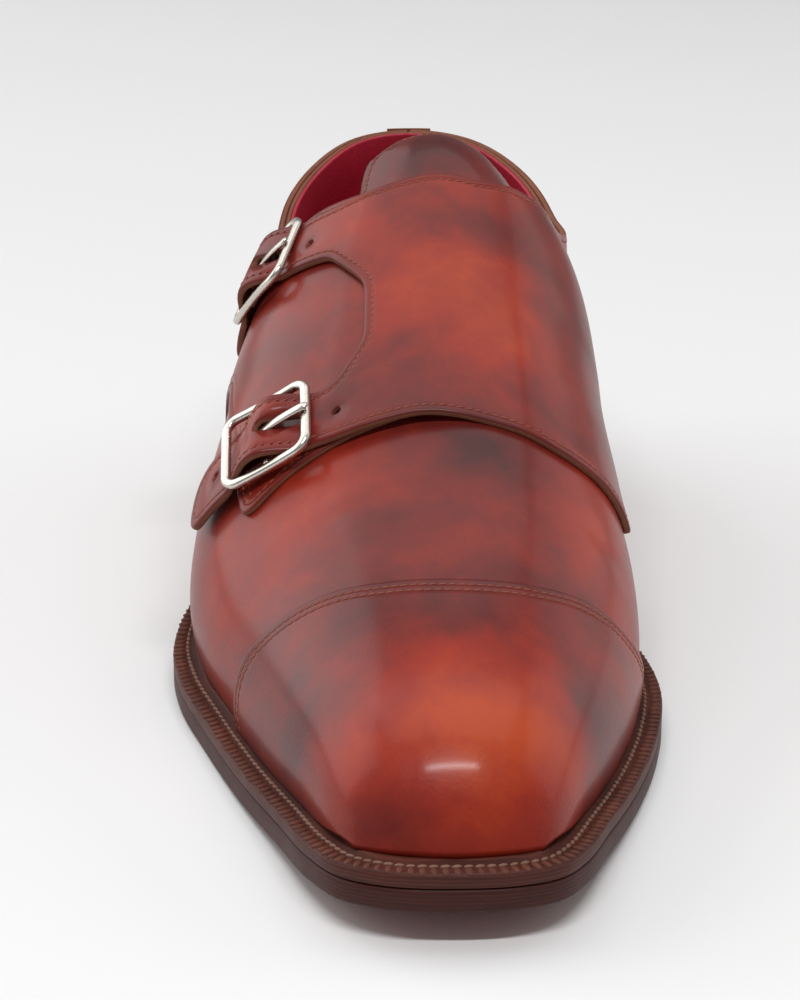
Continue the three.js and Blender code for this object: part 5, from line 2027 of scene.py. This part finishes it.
    def _cut_body(self, cut: Cut, under: Callable[[Array, Array], Array], thickness: float,
                  closed: bool = False, grooves: tuple[float, ...] = (2.0,)) -> Body:
        """Closed body of a cut piece of leather.

        Args:
            cut: Its outline.
            under: Level of its underside above the upper.
            thickness: Thickness of the leather.
            closed: Whether it spans the opening.
            grooves: Distances from the edge where stitching pulls it down.

        Returns:
            The body.
        """
        flat, faces, edge = cut.mesh()
        station, girth = flat[:, 0], flat[:, 1]
        low = under(station, girth)
        high = low + thickness - 0.5 * rounding(edge, 0.6)
        for place in grooves:
            high = high - 0.12 * bump(edge - place, 0.3)
        high = high + 0.06 * bump(edge - 1.05, 0.5)
        top = self.last.lifted(station, girth, high, closed)
        bottom = self.last.lifted(station, girth, low + 0.25 * rounding(edge, 0.45), closed)
        return slab(top, bottom, faces, self._stored(station, girth, edge))

    def outer_quarter(self) -> None:
        """Outer quarter, which the straps lie over."""
        front = self.last.collar_front
        shape = rounded_outline([*self.quarter_front, *self._rear(Side.OUTER, 144, front - 0.3)])
        cut = Cut(shape)
        under = lambda s, g: np.full(len(s), 0.05)
        body = self._cut_body(cut, under, self.quarter)
        self.workshop.piece("outer_quarter_leather", body, (PatinaLeather(), RawEdge()),
                            "outer_quarter", ("outer_quarter",))
        level = lambda s, g: np.full(len(s), self.quarter - 0.06)
        front_end = CORNER_POINTS * len(self.quarter_front)
        edge = cut.path(self.stitch_in, 0, front_end)
        double = cut.path(self.stitch_in + 1.7, 5 * CORNER_POINTS - 1, front_end)
        collar = cut.path(self.stitch_in, len(shape) - self.collar_points, None)
        self.stitch("outer_quarter_stitches", [edge, double, collar], level, "outer_quarter")

    def panel_under(self, station: Array, girth: Array) -> Array:
        """Level of the underside of the strap panel above the upper.

        Args:
            station: Stations of the points.
            girth: Signed girths of the points.

        Returns:
            A level for each.
        """
        share = smooth(np.clip((6 - girth) / 17, 0, 1))
        level = 0.05 + (self.strap_level - 0.05) * share
        for buckle in self.buckles:
            along, across = buckle.strap_place(station, girth)
            near = (np.abs(along) < self.hump_reach) & (np.abs(across) < self.hump_reach)
            swell = (1 + np.cos(np.pi * along / self.hump_reach)) / 2
            level = level + near * self.strap_hump * swell
        return level

    def strap_panel(self) -> None:
        """Inner quarter that crosses the instep and forks into the two straps."""
        shape = rounded_outline([*self.panel_front,
                                 *self._rear(Side.INNER, 143, self.last.collar_front)[::-1]])
        holes = []
        turn = np.linspace(0, 2 * np.pi, 25)[:-1]
        ends = np.where(np.cos(turn) > 0, 1.0, -1.0)
        for buckle in self.buckles:
            for place, straight, radius in self.strap_holes:
                along = place + ends * straight + radius * np.cos(turn)
                hole = np.stack(buckle.pattern(along, radius * np.sin(turn)), axis=1)
                holes.append(hole if turning(hole) > 0 else hole[::-1])
        cut = Cut(shape, holes)
        body = self._cut_body(cut, self.panel_under, self.panel)
        self.workshop.piece("strap_panel_leather", body,
                            (PatinaLeather("panel_leather", shift=0.03), RawEdge()),
                            "strap_panel", ("strap_panel",))
        plain = Cut(shape)
        level = lambda s, g: self.panel_under(s, g) + self.panel - 0.1
        corners = len(shape) - self.base_points - self.collar_points
        edge = plain.path(self.stitch_in, 0, corners)
        collar = plain.path(self.stitch_in, corners - 1, corners + self.collar_points)
        tack = np.array([(190.0, 57.0), (197.0, 54.5)])
        self.stitch("strap_panel_stitches", [edge, collar, tack], level, "strap_panel")

    def tongue_piece(self) -> None:
        """Tongue under the straps."""
        cut = Cut(rounded_outline(self.tongue_outline), [], 2.4)
        low = -self.last.wall - self.tongue_drop - self.tongue
        body = self._cut_body(cut, lambda s, g: np.full(len(s), low), self.tongue, True)
        self.workshop.piece("tongue_leather", body,
                            (PatinaLeather("tongue_leather", shift=-0.12), RawEdge()),
                            "tongue", ("tongue",))
        self.stitch("tongue_stitches", [cut.path(self.stitch_in)],
                    lambda s, g: np.full(len(s), low + self.tongue - 0.06), "tongue", True)

    def heel_tab(self) -> None:
        """Small tab over the top of the back seam."""
        last = self.last
        half, reach = 6.5, 17.0
        across = np.linspace(-half, half, 53)
        down = np.linspace(-0.2, reach, 60)
        seam = np.array([0.0])
        cut = last.cut_at(seam, Side.INNER)
        top_girth = float(abs(last.girth_at(seam, Side.INNER, cut)[0]))
        w, v = (m.reshape(-1) for m in np.meshgrid(across, down, indexing="ij"))
        narrow = 1.0 - 0.35 * smooth(np.clip(v / reach, 0, 1))
        station = np.abs(w) * narrow
        sign = np.where(w >= 0, 1.0, -1.0)
        girth = sign * (top_girth + v)
        edge = np.minimum(np.minimum(half - np.abs(w), v + 0.2), reach - v)
        high = self.panel + 0.12 + 0.9 - 0.6 * rounding(edge, 0.7) - 0.1 * bump(edge - 1.6, 0.3)
        normal = last.normal(np.maximum(station, 1.0), girth)
        normal[:, 0] *= np.clip(np.abs(w) / 1.6, 0, 1)
        normal = unit(normal)
        points = last.point(station, girth)
        top = points + normal * high[:, None]
        low = points + normal * (self.quarter + 0.1)
        stored = {"edge": edge, "tone": np.full(len(edge), -0.2)}
        body = slab(top, low, grid_faces(len(across), len(down)), stored)
        self.workshop.piece("heel_tab_leather", body, (PatinaLeather(), RawEdge()), "outer_quarter")

    def build(self) -> None:
        """Make every piece of the upper."""
        self.vamp()
        self.lining()
        self.toe_cap()
        self.outer_quarter()
        self.strap_panel()
        self.tongue_piece()
        self.heel_tab()
        for buckle in self.buckles:
            buckle.build(self.workshop)


# ---- studio ----

@dataclass
class Studio:
    """Pale floor, soft lights and the camera, in metres and degrees."""

    azimuth: float = -2.4
    elevation: float = 23.9
    distance: float = 0.546
    lens: float = 112.0
    aim: tuple[float, float, float] = (0.0045, -0.0607, 0.02)
    look: tuple[float, float, float] = (-0.002, -0.012, 0.0375)
    floor_colour: Colour = (0.82, 0.82, 0.82)
    world: float = 0.24

    def floor(self) -> None:
        """Floor that runs up into a backdrop."""
        depth = np.linspace(-3.0, 6.0, 46)
        height = np.where(depth > 2.5, (depth - 2.5) ** 2 * 0.5, 0.0)
        points = [(x, y, z) for y, z in zip(depth, height) for x in (-6.0, 6.0)]
        faces = [(2 * i, 2 * i + 1, 2 * i + 3, 2 * i + 2) for i in range(len(depth) - 1)]
        mesh = bpy.data.meshes.new("floor")
        mesh.from_pydata(points, [], faces)
        g = Graph("floor_paint")
        mottle = g.noise(3.0, 2.0)
        shade = tuple(v * 0.985 for v in self.floor_colour)
        paint = g.blend(mottle, shade, self.floor_colour)
        mesh.materials.append(g.finish(Base_Color=paint, Roughness=0.75, Specular_IOR_Level=0.2))
        floor = bpy.data.objects.new("floor", mesh)
        bpy.context.scene.collection.objects.link(floor)

    @staticmethod
    def light(name: str, place: Sequence[float], target: Sequence[float], size: Sequence[float],
              power: float, colour: Colour = (1.0, 1.0, 1.0)) -> None:
        """Rectangular soft light aimed at a point.

        Args:
            name: Name of the light.
            place: Where it hangs.
            target: Point that it is aimed at.
            size: Width and height.
            power: Power in watts.
            colour: Colour of the light.
        """
        lamp = bpy.data.lights.new(name, "AREA")
        lamp.shape = "RECTANGLE"
        lamp.size, lamp.size_y = size
        lamp.energy = power
        lamp.color = colour
        item = bpy.data.objects.new(name, lamp)
        item.location = place
        item.rotation_euler = (Vector(target) - Vector(place)).to_track_quat("-Z", "Y").to_euler()
        bpy.context.scene.collection.objects.link(item)

    def build(self) -> None:
        """Make the floor, the lights and the camera."""
        self.floor()
        world = bpy.data.worlds.new("studio")
        world.use_nodes = True
        world.node_tree.nodes["Background"].inputs[0].default_value = (1.0, 1.0, 1.0, 1.0)
        world.node_tree.nodes["Background"].inputs[1].default_value = self.world
        bpy.context.scene.world = world
        bpy.context.scene.view_settings.view_transform = "Standard"
        self.light("overhead", (0.0, 0.6, 1.9), (0.0, 0.0, 0.0), (2.6, 1.4), 15.0)
        self.light("left_wall", (-1.6, 0.8, 0.9), (0.0, 0.0, 0.06), (2.2, 1.6), 21.0)
        self.light("right_wall", (1.7, 0.6, 0.8), (0.0, 0.0, 0.06), (1.8, 1.4), 8.0)
        self.light("front_strip", (0.02, -0.62, 1.15), (0.0, -0.12, 0.03), (0.85, 0.06), 8.5)
        azimuth, elevation = (math.radians(v) for v in (self.azimuth, self.elevation))
        flat = math.cos(elevation)
        back = Vector((math.sin(azimuth) * flat, -math.cos(azimuth) * flat, math.sin(elevation)))
        camera = bpy.data.cameras.new("camera")
        camera.sensor_fit = "HORIZONTAL"
        camera.sensor_width = 36.0
        camera.lens = self.lens
        camera.clip_start = 0.02
        item = bpy.data.objects.new("camera", camera)
        item.location = Vector(self.aim) + back * self.distance
        gaze = Vector(self.look) - item.location
        item.rotation_euler = gaze.to_track_quat("-Z", "Y").to_euler()
        bpy.context.scene.collection.objects.link(item)
        bpy.context.scene.camera = item


def main() -> None:
    """Build the shoe from the bottom up, then the studio around it."""
    logging.basicConfig(level=logging.INFO, format="%(name)s %(message)s")
    last = Last()
    workshop = Workshop()
    runs = RunOfPieces()
    Studio().build()
    Bottom(last, workshop, runs).build()
    buckles = [Buckle("upper", (132.6, -57.2), (-0.45, -0.89), last),
               Buckle("lower", (201.3, -47.0), (-0.19, -0.98), last)]
    Upper(last, workshop, runs, buckles).build()


if __name__ == "__main__":
    main()
